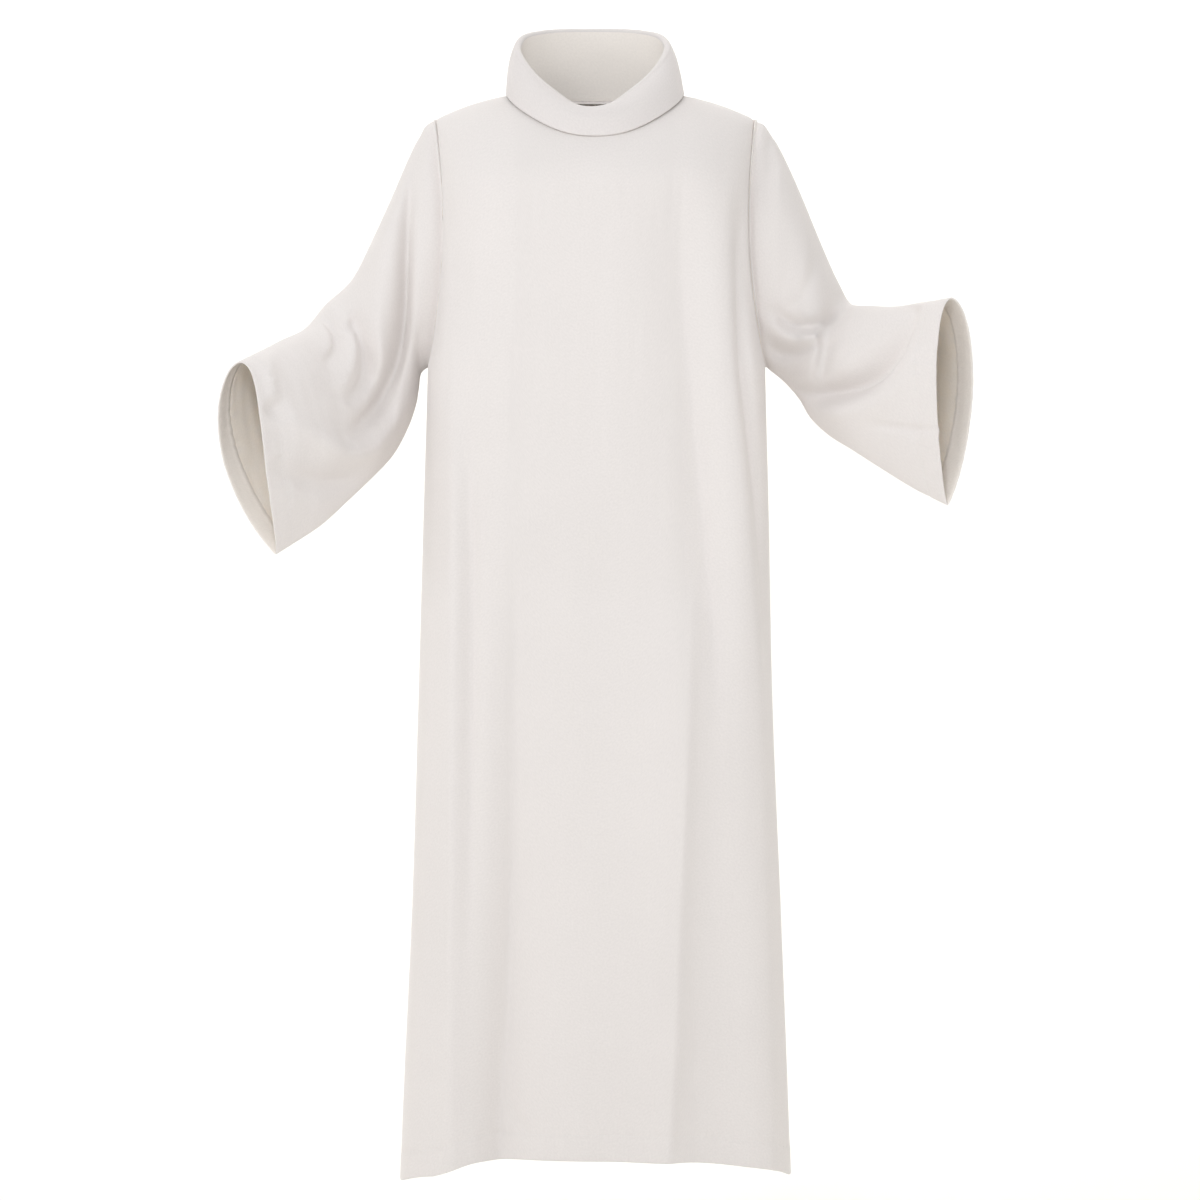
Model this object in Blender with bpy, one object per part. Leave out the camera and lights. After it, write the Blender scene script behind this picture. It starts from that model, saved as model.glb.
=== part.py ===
# Alb: a long white vestment with set-in bell sleeves and a fold-over collar, in the hollow form it has when worn.
# Left and right are the wearer's: the left sleeve is at +X and the front faces -Y.
# The origin lies between the shoulders, at the base of the neck. Lengths are metres, angles are degrees.
import math

import bmesh
import bpy
import numpy as np

# Cloth and seams
WALL = 0.002
SEAM_GAP = 0.0003
TINY = 1e-6

# Shoulder line: level across the neck, then falling to the sleeve heads
LEFT_TIP_X = 0.2212
RIGHT_TIP_X = -0.2268
SHOULDER_CROWN = 0.010
SHOULDER_LEVEL = 0.070
SHOULDER_DROP = 0.038

MIDDLE_X = (LEFT_TIP_X + RIGHT_TIP_X) / 2
HALF_SHOULDER = (LEFT_TIP_X - RIGHT_TIP_X) / 2

# Rounding of the chest and the back below the shoulder line
ARCH_HEIGHT = 0.14
ARCH_POWER = 1.7
NAPE_RISE = 0.035
NAPE_POWER = 1.5

# Armholes
UNDERARM_Z = -0.375
LEFT_UNDERARM_X = 0.2335
RIGHT_UNDERARM_X = -0.2348
ARMHOLE_SCOOP = 0.018
ARMHOLE_DEPTH = 0.072
EDGE_FADE = 2
SOFT_POWER = 3
SOFT_REACH = 4
ARMHOLE_TURNS = list(range(0, 181, 15))

# Neckline: NECK_SHARE of the shoulder width is neck opening
NECK_SHARE = 0.5
NECK_FRONT_Z = -0.0514
NECK_BACK_Z = 0.008
NECK_EDGE_FALL = 0.5

# Hem
HEM_FRONT_Z = -1.4585
HEM_LEFT_Z = -1.4985
HEM_RIGHT_Z = -1.5070
HEM_BACK_Z = -1.4880
SIDE_ROUNDING = 2.8

# Body girth: half-widths at the wearer's right and left, and depths of front and back
GIRTH_COLUMNS = ("z", "right", "left", "front", "back")
GIRTH = (
    (0.100, -0.2348, 0.2335, 0.145, 0.126),
    (-0.375, -0.2348, 0.2335, 0.146, 0.130),
    (-0.560, -0.2400, 0.2380, 0.147, 0.132),
    (-0.840, -0.2478, 0.2436, 0.150, 0.136),
    (-1.120, -0.2562, 0.2548, 0.153, 0.142),
    (-1.400, -0.2690, 0.2655, 0.157, 0.149),
    (-1.520, -0.2735, 0.2695, 0.158, 0.152),
)

# Panel grids: column angles across a panel and rows between underarm and hem
FRONT_COLUMNS = list(range(-90, 91, 5))
BACK_COLUMNS = (-90, -81, -72, -63, -54, -46, -38, -30, -24, -18, -12, -6, 0,
                6, 12, 18, 24, 30, 38, 46, 54, 63, 72, 81, 90)
SKIRT_ROWS = 14

# Folds of the body. Each runs through three points seen from the front or the back, and rises (+) or sinks (-)
# from its start to its end; reach_right and reach_left are its half-widths towards the wearer's right and left.
FOLD_COLUMNS = ("x1", "z1", "x2", "z2", "x3", "z3", "start", "end", "reach_right", "reach_left")
FRONT_FOLDS = (
    (0.120, -0.160, 0.148, -0.760, 0.104, -1.560, -0.003, -0.017, 0.020, 0.034),
    (0.176, -0.600, 0.187, -1.050, 0.168, -1.560, 0.002, 0.009, 0.026, 0.030),
    (0.190, -0.170, 0.208, -0.420, 0.238, -0.900, -0.007, -0.003, 0.013, 0.013),
    (0.226, -0.800, 0.232, -1.200, 0.226, -1.560, -0.002, -0.007, 0.014, 0.014),
    (-0.198, -0.300, -0.199, -0.900, -0.208, -1.560, 0.004, 0.006, 0.013, 0.014),
    (-0.171, -0.440, -0.177, -0.750, -0.182, -1.080, -0.004, -0.002, 0.012, 0.014),
    (-0.118, -0.600, -0.130, -1.100, -0.165, -1.560, -0.001, -0.014, 0.024, 0.032),
    (0.036, -0.520, 0.030, -0.950, 0.016, -1.560, -0.002, -0.004, 0.040, 0.045),
    (-0.050, -0.750, -0.062, -1.150, -0.078, -1.560, 0.001, 0.006, 0.036, 0.036),
)
BACK_FOLDS = (
    (-0.052, -0.240, -0.066, -0.800, -0.094, -1.560, -0.003, -0.018, 0.030, 0.026),
    (0.018, -0.350, 0.012, -0.900, 0.004, -1.560, 0.002, 0.011, 0.040, 0.036),
    (0.078, -0.200, 0.090, -0.850, 0.116, -1.560, -0.004, -0.015, 0.026, 0.034),
    (-0.150, -0.420, -0.160, -0.950, -0.176, -1.560, 0.003, 0.008, 0.028, 0.026),
    (-0.206, -0.400, -0.214, -0.900, -0.222, -1.560, -0.003, -0.007, 0.014, 0.016),
    (0.168, -0.500, 0.176, -1.000, 0.186, -1.560, 0.002, 0.008, 0.026, 0.024),
    (0.208, -0.350, 0.219, -0.800, 0.232, -1.560, -0.003, -0.006, 0.014, 0.014),
)

# Sleeve sections from the armhole to the cuff: the line over the arm (top), the underarm seam (low), the angle by
# which the section's flat turns away from the frontal plane, its width, how high its widest place sits (taper,
# 0.5 is midway), and how far its middle bows out towards the hand.
SLEEVE_COLUMNS = ("top_x", "top_y", "top_z", "low_x", "low_y", "low_z", "turn", "width", "taper", "bow")
LEFT_SLEEVE = (
    (0.2212, 0.000, -0.028, 0.2335, 0.000, -0.375, 0, 0.144, 0.50, 0.000),
    (0.2350, 0.000, -0.038, 0.2420, 0.000, -0.378, 0, 0.146, 0.55, 0.000),
    (0.2530, 0.000, -0.064, 0.2500, 0.000, -0.385, 0, 0.146, 0.60, 0.000),
    (0.2730, 0.000, -0.105, 0.2600, 0.000, -0.394, 0, 0.144, 0.65, 0.000),
    (0.2930, 0.000, -0.151, 0.2720, -0.002, -0.407, 2, 0.140, 0.70, 0.000),
    (0.3140, 0.000, -0.202, 0.2840, -0.010, -0.423, 8, 0.136, 0.75, 0.000),
    (0.3350, 0.000, -0.252, 0.2980, -0.025, -0.448, 16, 0.130, 0.80, 0.000),
    (0.3520, 0.000, -0.284, 0.3220, -0.050, -0.473, 28, 0.122, 0.83, 0.000),
    (0.3810, -0.048, -0.292, 0.3510, -0.085, -0.494, 42, 0.112, 0.84, 0.004),
    (0.4120, -0.100, -0.297, 0.3900, -0.120, -0.522, 51, 0.098, 0.82, 0.006),
    (0.4430, -0.155, -0.296, 0.4320, -0.155, -0.551, 55, 0.082, 0.80, 0.009),
    (0.4760, -0.205, -0.294, 0.4720, -0.186, -0.573, 55, 0.066, 0.80, 0.010),
)
RIGHT_SLEEVE = (
    (-0.2268, 0.000, -0.028, -0.2348, 0.000, -0.375, 0, 0.144, 0.50, 0.000),
    (-0.2440, 0.000, -0.043, -0.2435, 0.000, -0.378, 0, 0.146, 0.55, 0.000),
    (-0.2630, 0.000, -0.081, -0.2475, 0.000, -0.388, 0, 0.146, 0.60, 0.000),
    (-0.2880, 0.000, -0.139, -0.2495, 0.000, -0.406, 0, 0.144, 0.65, 0.000),
    (-0.3140, 0.000, -0.195, -0.2530, -0.002, -0.429, 2, 0.140, 0.70, 0.000),
    (-0.3430, 0.000, -0.251, -0.2630, -0.008, -0.459, 8, 0.136, 0.75, 0.000),
    (-0.3780, 0.000, -0.285, -0.2830, -0.022, -0.498, 20, 0.128, 0.80, 0.000),
    (-0.4000, -0.034, -0.320, -0.3090, -0.048, -0.529, 36, 0.118, 0.84, 0.004),
    (-0.4270, -0.084, -0.340, -0.3430, -0.086, -0.565, 47, 0.108, 0.84, 0.010),
    (-0.4520, -0.137, -0.359, -0.3800, -0.128, -0.602, 54, 0.096, 0.82, 0.016),
    (-0.4800, -0.190, -0.379, -0.4330, -0.170, -0.639, 55, 0.077, 0.80, 0.030),
)
SLEEVE_ROWS = 22
SLEEVE_HEAD_SHARE = 0.18

LEFT_FRONT_FOLDS = (
    (0.417, -0.308, 0.366, -0.398, 0.286, -0.415, -0.015, -0.019, 0.020, 0.020),
    (0.346, -0.290, 0.308, -0.322, 0.250, -0.300, -0.010, -0.008, 0.018, 0.018),
    (0.330, -0.330, 0.300, -0.362, 0.262, -0.352, 0.007, 0.006, 0.018, 0.018),
    (0.244, -0.060, 0.240, -0.110, 0.234, -0.160, -0.005, -0.003, 0.010, 0.010),
    (0.234, -0.150, 0.232, -0.230, 0.240, -0.320, 0.008, 0.008, 0.012, 0.016),
    (0.440, -0.360, 0.400, -0.420, 0.352, -0.452, 0.008, 0.004, 0.024, 0.024),
)
LEFT_BACK_FOLDS = (
    (0.262, -0.110, 0.270, -0.250, 0.290, -0.390, -0.012, -0.014, 0.018, 0.022),
    (0.350, -0.290, 0.325, -0.350, 0.330, -0.430, -0.012, -0.008, 0.016, 0.016),
    (0.400, -0.310, 0.392, -0.400, 0.350, -0.470, -0.010, -0.008, 0.018, 0.018),
)
RIGHT_FRONT_FOLDS = (
    (-0.258, -0.110, -0.268, -0.270, -0.322, -0.472, -0.014, -0.018, 0.024, 0.020),
    (-0.330, -0.312, -0.319, -0.368, -0.340, -0.424, -0.011, -0.008, 0.018, 0.016),
    (-0.384, -0.306, -0.359, -0.339, -0.371, -0.370, -0.009, -0.007, 0.016, 0.016),
    (-0.350, -0.325, -0.342, -0.365, -0.360, -0.405, 0.007, 0.005, 0.018, 0.018),
    (-0.400, -0.448, -0.345, -0.478, -0.296, -0.462, 0.008, 0.010, 0.020, 0.020),
    (-0.240, -0.150, -0.240, -0.240, -0.244, -0.330, 0.006, 0.006, 0.014, 0.012),
)
RIGHT_BACK_FOLDS = (
    (-0.264, -0.150, -0.274, -0.270, -0.290, -0.410, -0.007, -0.012, 0.022, 0.018),
    (-0.376, -0.292, -0.346, -0.350, -0.342, -0.430, -0.012, -0.008, 0.016, 0.016),
    (-0.424, -0.350, -0.400, -0.430, -0.350, -0.500, -0.010, -0.008, 0.018, 0.018),
)

SLEEVES = {
    1: (LEFT_SLEEVE, LEFT_FRONT_FOLDS, LEFT_BACK_FOLDS),
    -1: (RIGHT_SLEEVE, RIGHT_FRONT_FOLDS, RIGHT_BACK_FOLDS),
}

# Collar: height of the rolled rim by angle round the neck, 0 in front and 180 at the nape. The first and last rows
# keep the rim level there.
COLLAR_COLUMNS = ("angle", "rim_z")
COLLAR = (
    (-13, -0.0185),
    (0, -0.0240),
    (13, -0.0185),
    (28, 0.0000),
    (45, 0.0220),
    (68, 0.0520),
    (90, 0.0740),
    (110, 0.0915),
    (140, 0.1050),
    (180, 0.1100),
    (220, 0.1050),
)
FLAP_HALF_WIDTH = 0.1235
FLAP_FRONT_Y = -0.1235
FLAP_BACK_Y = 0.0890
FLAP_SQUARENESS = 2.3
FLAP_STAND_OFF = 0.0030
RIM_X = -0.0066
RIM_Y = -0.0110
RIM_HALF_WIDTH = 0.1040
RIM_HALF_DEPTH = 0.0790
NECK_CENTRE_Y = -0.018
ROLL_RADIUS = 0.0042
ROLL_TURNS = (0, 60, 120, 180)
FLAP_BULGE = 0.0025
LEAF_STEPS = 2
FLAP_STEPS = 4

CLOTH_COLOUR = (0.80, 0.785, 0.765, 1.0)
CLOTH_ROUGHNESS = 0.85
SHARP_ANGLE = 60

# Folds are read at FOLD_SAMPLES points. They fade over FOLD_FADE of their run at a closed end, over SEAM_FADE of a
# panel's half-width beside its side seams, over TOP_FADE below the shoulder line and over CUFF_FADE of a sleeve's
# bulge beside its seam. Near the side seams they push sideways, and LEAST_DEPTH keeps their direction defined.
FOLD_SAMPLES = 24
FOLD_FADE = 0.22
SEAM_FADE = 0.03
TOP_FADE = 0.08
CUFF_FADE = 0.6
SIDE_PUSH_POWER = 3
LEAST_DEPTH = 0.02


def read(table, columns, name, place):
    """Smooth value of one column where the table's first column equals place."""
    keys = np.array([row[0] for row in table], dtype=float)
    values = np.array([row[columns.index(name)] for row in table], dtype=float)
    if keys[0] > keys[-1]:
        keys = keys[::-1]
        values = values[::-1]
    slopes = np.gradient(values, keys)
    place = np.clip(np.asarray(place, dtype=float), keys[0], keys[-1])
    low = np.clip(np.searchsorted(keys, place, side="right") - 1, 0, len(keys) - 2)
    span = keys[low + 1] - keys[low]
    t = (place - keys[low]) / span
    rise = (2 * t ** 3 - 3 * t ** 2 + 1) * values[low] + (3 * t ** 2 - 2 * t ** 3) * values[low + 1]
    bend = (t ** 3 - 2 * t ** 2 + t) * slopes[low] + (t ** 3 - t ** 2) * slopes[low + 1]
    return rise + bend * span


def ease(share):
    """Smooth step from 0 to 1."""
    share = np.clip(share, 0.0, 1.0)
    return share * share * (3 - 2 * share)


def fold_height(folds, x, z):
    """Rise of the cloth at (x, z) from a table of folds."""
    total = np.zeros(np.broadcast(x, z).shape)
    t = np.linspace(0.0, 1.0, FOLD_SAMPLES)
    weights = ((1 - t) * (1 - 2 * t), 4 * t * (1 - t), t * (2 * t - 1))
    for row in folds:
        fold = dict(zip(FOLD_COLUMNS, row))
        path_x = sum(weight * fold[key] for weight, key in zip(weights, ("x1", "x2", "x3")))
        path_z = sum(weight * fold[key] for weight, key in zip(weights, ("z1", "z2", "z3")))
        away_x = x[..., None] - path_x
        distance = np.hypot(away_x, z[..., None] - path_z)
        nearest = np.argmin(distance, axis=-1)
        gap = np.take_along_axis(distance, nearest[..., None], axis=-1)[..., 0]
        side = np.take_along_axis(away_x, nearest[..., None], axis=-1)[..., 0]
        reach = np.where(side < 0, fold["reach_right"], fold["reach_left"])
        along = t[nearest]
        runs_out = fold["z3"] < min(HEM_FRONT_Z, HEM_BACK_Z)
        fade_out = 1.0 if runs_out else ease((1 - along) / FOLD_FADE)
        size = (fold["start"] + (fold["end"] - fold["start"]) * along) * ease(along / FOLD_FADE) * fade_out
        total += size * np.exp(-(gap / reach) ** 2)
    return total


def shoulder_z(x):
    """Height of the shoulder line at x."""
    beyond = np.clip(np.abs(x - MIDDLE_X) - SHOULDER_LEVEL, 0, None) / (HALF_SHOULDER - SHOULDER_LEVEL)
    return SHOULDER_CROWN - SHOULDER_DROP * beyond ** 2


def nape_rise(face, x):
    """Extra height of the back panel where it climbs to the nape."""
    if face < 0:
        return np.zeros_like(x)
    beside = (x - MIDDLE_X) / (NECK_SHARE * HALF_SHOULDER)
    return NAPE_RISE * np.clip(1 - beside ** 2, 0, 1) ** NAPE_POWER


def crown(u):
    """Share of the full depth that the cross-section has at u, from 1 in the middle to 0 at the side seams."""
    return np.clip(1 - np.abs(u) ** SIDE_ROUNDING, 0, 1) ** (1 / SIDE_ROUNDING)


def body_depth(face, z):
    """Depth of the front (face -1) or the back (face 1) at the middle of the panel."""
    return read(GIRTH, GIRTH_COLUMNS, "front" if face < 0 else "back", z)


def armhole_edge(side, turn):
    """Point of the armhole seam at a turn, 0 at the shoulder tip and 180 at the underarm; side is 1 at the left."""
    tip = LEFT_TIP_X if side > 0 else RIGHT_TIP_X
    low = LEFT_UNDERARM_X if side > 0 else RIGHT_UNDERARM_X
    share = (1 - np.cos(np.radians(turn))) / 2
    bulge = np.abs(np.sin(np.radians(turn)))
    x = tip + (low - tip) * share - side * ARMHOLE_SCOOP * bulge ** 2
    top_z = shoulder_z(tip)
    z = top_z + (UNDERARM_Z - top_z) * share
    return x, ARMHOLE_DEPTH * bulge, z


def top_z(face, u, x):
    """Height of a panel's top edge: the neckline in the middle, the shoulder seam beyond it."""
    neck_z = NECK_FRONT_Z if face < 0 else NECK_BACK_Z
    seam_end = shoulder_z(MIDDLE_X + NECK_SHARE * HALF_SHOULDER)
    neckline = neck_z + (seam_end - neck_z) * (np.abs(u) / NECK_SHARE) ** 2
    return np.where(np.abs(u) < NECK_SHARE - TINY, neckline, shoulder_z(x))


def hem_z(face, u):
    """Height of the hem across a panel."""
    middle_z = HEM_FRONT_Z if face < 0 else HEM_BACK_Z
    side_z = HEM_RIGHT_Z + (HEM_LEFT_Z - HEM_RIGHT_Z) * (u + 1) / 2
    return side_z + (middle_z - side_z) * crown(u) ** 2


def panel_points(face, columns):
    """Outer grid of the front or back panel, rows from the top edge to the hem."""
    u = np.sin(np.radians(np.array(columns, dtype=float)))
    rows = []
    for turn in ARMHOLE_TURNS:
        left_x, edge_y, _ = armhole_edge(1, turn)
        right_x = armhole_edge(-1, turn)[0]
        x = right_x + (left_x - right_x) * (u + 1) / 2
        tip_x = RIGHT_TIP_X + (LEFT_TIP_X - RIGHT_TIP_X) * (u + 1) / 2
        start = top_z(face, u, tip_x)
        share = (1 - math.cos(math.radians(turn))) / 2
        z = start + (UNDERARM_Z - start) * share
        rows.append(body_row(face, u, x, z, edge_y))
    for step in range(1, SKIRT_ROWS + 1):
        z = UNDERARM_Z + (hem_z(face, u) - UNDERARM_Z) * step / SKIRT_ROWS
        right_x = read(GIRTH, GIRTH_COLUMNS, "right", z)
        left_x = read(GIRTH, GIRTH_COLUMNS, "left", z)
        x = right_x + (left_x - right_x) * (u + 1) / 2
        rows.append(body_row(face, u, x, z, 0.0))
    return np.array(rows)


def body_row(face, u, x, z, edge_y):
    """One row of body points, with the folds raised along the cross-section's outward direction."""
    fall = np.clip((shoulder_z(x) + nape_rise(face, x) - z) / ARCH_HEIGHT, 0, 1)
    arch = (1 - (1 - fall) ** ARCH_POWER) ** (1 / ARCH_POWER)
    share = crown(u)
    soft_y = ARMHOLE_DEPTH * (edge_y / ARMHOLE_DEPTH) ** SOFT_POWER
    beside = (1 - share) ** SOFT_REACH
    edge_y = edge_y * beside + soft_y * (1 - beside)
    y = face * ((1 - share) ** EDGE_FADE * edge_y + share * body_depth(face, z) * arch)
    out_x = np.sign(u) * np.abs(u) ** SIDE_PUSH_POWER
    out_y = face * np.maximum(share, LEAST_DEPTH)
    length = np.hypot(out_x, out_y)
    push = fold_height(FRONT_FOLDS if face < 0 else BACK_FOLDS, x, z)
    push = push * ease((1 - np.abs(u)) / SEAM_FADE) * ease((shoulder_z(x) - z) / TOP_FADE)
    return np.stack([x + push * out_x / length, y + push * out_y / length, z], axis=-1)


def neck_surface_z(x, y):
    """Height of the body near the neck at (x, y)."""
    face = np.where(y < 0, -1, 1)
    depth = np.where(face < 0, body_depth(-1, 0.0), body_depth(1, 0.0)) * crown((x - MIDDLE_X) / HALF_SHOULDER)
    reach = np.clip(np.abs(y) / depth, 0, 1)
    rise = np.where(face < 0, 0.0, nape_rise(1, x))
    return shoulder_z(x) + rise - ARCH_HEIGHT * (1 - (1 - reach ** ARCH_POWER) ** (1 / ARCH_POWER))


def sleeve_points(side):
    """Outer grid of a sleeve: rings from the armhole to the cuff, each running over the front, then up the back."""
    table, front_folds, back_folds = SLEEVES[side]
    numbered = [(index,) + row for index, row in enumerate(table)]
    columns = ("index",) + SLEEVE_COLUMNS
    turns = np.array(ARMHOLE_TURNS + [360 - turn for turn in ARMHOLE_TURNS[-2:0:-1]], dtype=float)
    face = np.where(turns <= 180, -1.0, 1.0)
    share = (1 - np.cos(np.radians(turns))) / 2
    rings = []
    for row in range(SLEEVE_ROWS + 1):
        place = (len(table) - 1) * row / SLEEVE_ROWS
        value = {name: float(read(numbered, columns, name, place)) for name in SLEEVE_COLUMNS}
        top = np.array([value["top_x"], value["top_y"], value["top_z"]])
        low = np.array([value["low_x"], value["low_y"], value["low_z"]])
        turn = math.radians(value["turn"])
        flat = np.array([-side * math.sin(turn), -math.cos(turn), 0.0])
        ahead = np.array([side * math.cos(turn), -math.sin(turn), 0.0])
        widest = 0.5 / (0.5 + value["taper"])
        bulge = np.sqrt(share) * (1 - share) ** value["taper"]
        bulge = bulge / (math.sqrt(widest) * (1 - widest) ** value["taper"])
        ring = top + (low - top) * share[:, None]
        ring = ring + flat * (-face * bulge * value["width"] / 2)[:, None]
        ring = ring + ahead * (value["bow"] * 4 * share * (1 - share))[:, None]
        front_push = fold_height(front_folds, ring[:, 0], ring[:, 2])
        back_push = fold_height(back_folds, ring[:, 0], ring[:, 2])
        push = np.where(face < 0, front_push, back_push) * ease(bulge / CUFF_FADE)
        ring = ring + flat * (-face * push)[:, None]
        seam_x, seam_y, seam_z = armhole_edge(side, np.minimum(turns, 360 - turns))
        seam = np.stack([seam_x + side * SEAM_GAP / 2, face * seam_y, seam_z], axis=-1)
        blend = float(ease(row / SLEEVE_ROWS / SLEEVE_HEAD_SHARE))
        rings.append(seam * (1 - blend) + ring * blend)
    return np.array(rings)


def inward(points, closed):
    """Unit directions across the cloth at each grid point, from the neighbouring points."""
    down = np.gradient(points, axis=0)
    across = np.roll(points, -1, axis=1) - np.roll(points, 1, axis=1)
    if not closed:
        across = np.gradient(points, axis=1)
    return unit(np.cross(across, down))


def make_solid(name, outer, inner, closed):
    """Closed wall between two grids; closed grids join their last column to the first."""
    rows, columns = outer.shape[:2]
    mesh = bpy.data.meshes.new(name)
    shell = bmesh.new()
    skins = []
    for grid in (outer, inner):
        skins.append([[shell.verts.new(grid[i, j]) for j in range(columns)] for i in range(rows)])
    spans = columns if closed else columns - 1
    for i in range(rows - 1):
        for j in range(spans):
            k = (j + 1) % columns
            for skin in skins:
                shell.faces.new((skin[i][j], skin[i][k], skin[i + 1][k], skin[i + 1][j]))
    for i in (0, rows - 1):
        for j in range(spans):
            k = (j + 1) % columns
            shell.faces.new((skins[0][i][j], skins[0][i][k], skins[1][i][k], skins[1][i][j]))
    if not closed:
        for j in (0, columns - 1):
            for i in range(rows - 1):
                shell.faces.new((skins[0][i][j], skins[0][i + 1][j], skins[1][i + 1][j], skins[1][i][j]))
    bmesh.ops.triangulate(shell, faces=shell.faces[:])
    bmesh.ops.recalc_face_normals(shell, faces=shell.faces[:])
    shell.to_mesh(mesh)
    shell.free()
    mesh.shade_smooth()
    mesh.set_sharp_from_angle(angle=math.radians(SHARP_ANGLE))
    mesh.materials.append(cloth_material(name))
    piece = bpy.data.objects.new(name, mesh)
    bpy.context.collection.objects.link(piece)
    return piece


def cloth_material(name):
    """Matt off-white crepe."""
    material = bpy.data.materials.new(name + "_cloth")
    material.use_nodes = True
    shader = material.node_tree.nodes["Principled BSDF"]
    shader.inputs["Base Color"].default_value = CLOTH_COLOUR
    shader.inputs["Roughness"].default_value = CLOTH_ROUGHNESS
    shader.inputs["Metallic"].default_value = 0.0
    return material


def unit(vectors):
    """Vectors of length one."""
    return vectors / np.maximum(np.linalg.norm(vectors, axis=-1, keepdims=True), TINY ** 2)


def armhole_inward(side, face):
    """Directions from one half of the armhole seam towards the middle of the opening, for each armhole turn."""
    _, y, z = armhole_edge(side, np.array(ARMHOLE_TURNS, dtype=float))
    return unit(np.stack([np.zeros_like(y), -face * y, (z[0] + z[-1]) / 2 - z], axis=-1))


def neck_inward(points):
    """Directions from the neck seam into the opening, and a little down."""
    toward = unit(np.stack([MIDDLE_X - points[:, 0], NECK_CENTRE_Y - points[:, 1]], axis=-1))
    return unit(np.concatenate([toward, np.full((len(points), 1), -NECK_EDGE_FALL)], axis=-1))


def make_panel(name, face, columns):
    """Front or back panel; its seam edges keep half the seam gap and share their neighbours' directions."""
    outer = panel_points(face, columns)
    hollow = inward(outer, closed=False) * -face
    across = np.abs(np.sin(np.radians(np.array(columns, dtype=float))))
    neck = across < NECK_SHARE + TINY
    shoulder = across > NECK_SHARE - TINY
    underarm = len(ARMHOLE_TURNS) - 1
    outer[0, shoulder, 1] = face * SEAM_GAP / 2
    hollow[0, neck] = neck_inward(outer[0, neck])
    hollow[0, shoulder, 1] = 0
    for column, side in ((0, -1), (-1, 1)):
        outer[:underarm + 1, column, 0] -= side * SEAM_GAP / 2
        outer[underarm:, column, 1] = face * SEAM_GAP / 2
        hollow[:underarm + 1, column] = armhole_inward(side, face)
        hollow[underarm + 1:, column] = (-side, 0, 0)
    hollow = unit(hollow)
    make_solid(name, outer, outer + hollow * WALL, closed=False)
    return outer[0, neck], hollow[0, neck]


def make_sleeve(name, side):
    """Bell sleeve, open at the armhole and at the cuff."""
    outer = sleeve_points(side)
    hollow = inward(outer, closed=True) * -side
    hollow[0] = np.concatenate([armhole_inward(side, -1), armhole_inward(side, 1)[-2:0:-1]])
    make_solid(name, outer, outer + hollow * WALL, closed=True)


def halve_steps(points):
    """The same polyline with a point added midway along each step of the closed loop."""
    middles = (points + np.roll(points, -1, axis=0)) / 2
    return np.stack([points, middles], axis=1).reshape(-1, points.shape[1])


def flap_edge(around):
    """Plan of the flap's free edge, a rounded oblong round the neck."""
    sine = np.sin(around)
    cosine = np.cos(around)
    size = (np.abs(sine) ** FLAP_SQUARENESS + np.abs(cosine) ** FLAP_SQUARENESS) ** (-1 / FLAP_SQUARENESS)
    middle_y = (FLAP_FRONT_Y + FLAP_BACK_Y) / 2
    half_depth = (FLAP_BACK_Y - FLAP_FRONT_Y) / 2
    x = MIDDLE_X + FLAP_HALF_WIDTH * size * sine
    y = middle_y - half_depth * size * cosine
    return np.stack([x, y, np.zeros_like(x)], axis=-1)


def make_collar(name, seam, directions):
    """Folded band on the neck seam: an inner stand, a rolled rim and an outer flap."""
    seam = halve_steps(seam)
    directions = halve_steps(directions)
    angle = np.degrees(np.arctan2(seam[:, 0] - MIDDLE_X, NECK_CENTRE_Y - seam[:, 1]))
    around = np.radians(angle)
    radial = np.stack([np.sin(around), -np.cos(around), np.zeros_like(around)], axis=-1)
    rim = np.stack([RIM_X + RIM_HALF_WIDTH * np.sin(around),
                    RIM_Y - RIM_HALF_DEPTH * np.cos(around),
                    read(COLLAR, COLLAR_COLUMNS, "rim_z", np.abs(angle))], axis=-1)
    free_edge = flap_edge(around)
    free_edge[:, 2] = neck_surface_z(free_edge[:, 0], free_edge[:, 1]) + FLAP_STAND_OFF + WALL / 2
    foot = seam + directions * WALL / 2
    foot[:, 2] = seam[:, 2] + SEAM_GAP
    rise = unit(rim - (foot + free_edge) / 2)
    out = unit(radial - rise * np.sum(radial * rise, axis=-1, keepdims=True))
    roll = rim - rise * ROLL_RADIUS
    rows = []
    for step in range(LEAF_STEPS):
        share = step / LEAF_STEPS
        rows.append(foot + (roll - out * ROLL_RADIUS - foot) * share)
    for turn in ROLL_TURNS:
        spin = math.radians(turn)
        rows.append(roll - out * ROLL_RADIUS * math.cos(spin) + rise * ROLL_RADIUS * math.sin(spin))
    for step in range(1, FLAP_STEPS + 1):
        share = step / FLAP_STEPS
        line = roll + out * ROLL_RADIUS + (free_edge - roll - out * ROLL_RADIUS) * share
        rows.append(line + out * FLAP_BULGE * 4 * share * (1 - share))
    middle = np.array(rows)
    between = inward(middle, closed=True)
    outer = middle - between * WALL / 2
    inner = middle + between * WALL / 2
    edge = seam + np.array([0, 0, SEAM_GAP])
    outer[0] = edge + directions * WALL
    inner[0] = edge
    make_solid(name, outer, inner, closed=True)


def clear_scene():
    """Remove what the scene holds."""
    for item in list(bpy.data.objects):
        bpy.data.objects.remove(item, do_unlink=True)


def main():
    """Build the five cut pieces."""
    clear_scene()
    front_neck, front_directions = make_panel("front", -1, FRONT_COLUMNS)
    back_neck, back_directions = make_panel("back", 1, BACK_COLUMNS)
    make_sleeve("sleeve_left", 1)
    make_sleeve("sleeve_right", -1)
    seam = np.concatenate([front_neck[1:-1], back_neck[::-1]])
    directions = np.concatenate([front_directions[1:-1], back_directions[::-1]])
    make_collar("collar", seam, directions)


main()
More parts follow.
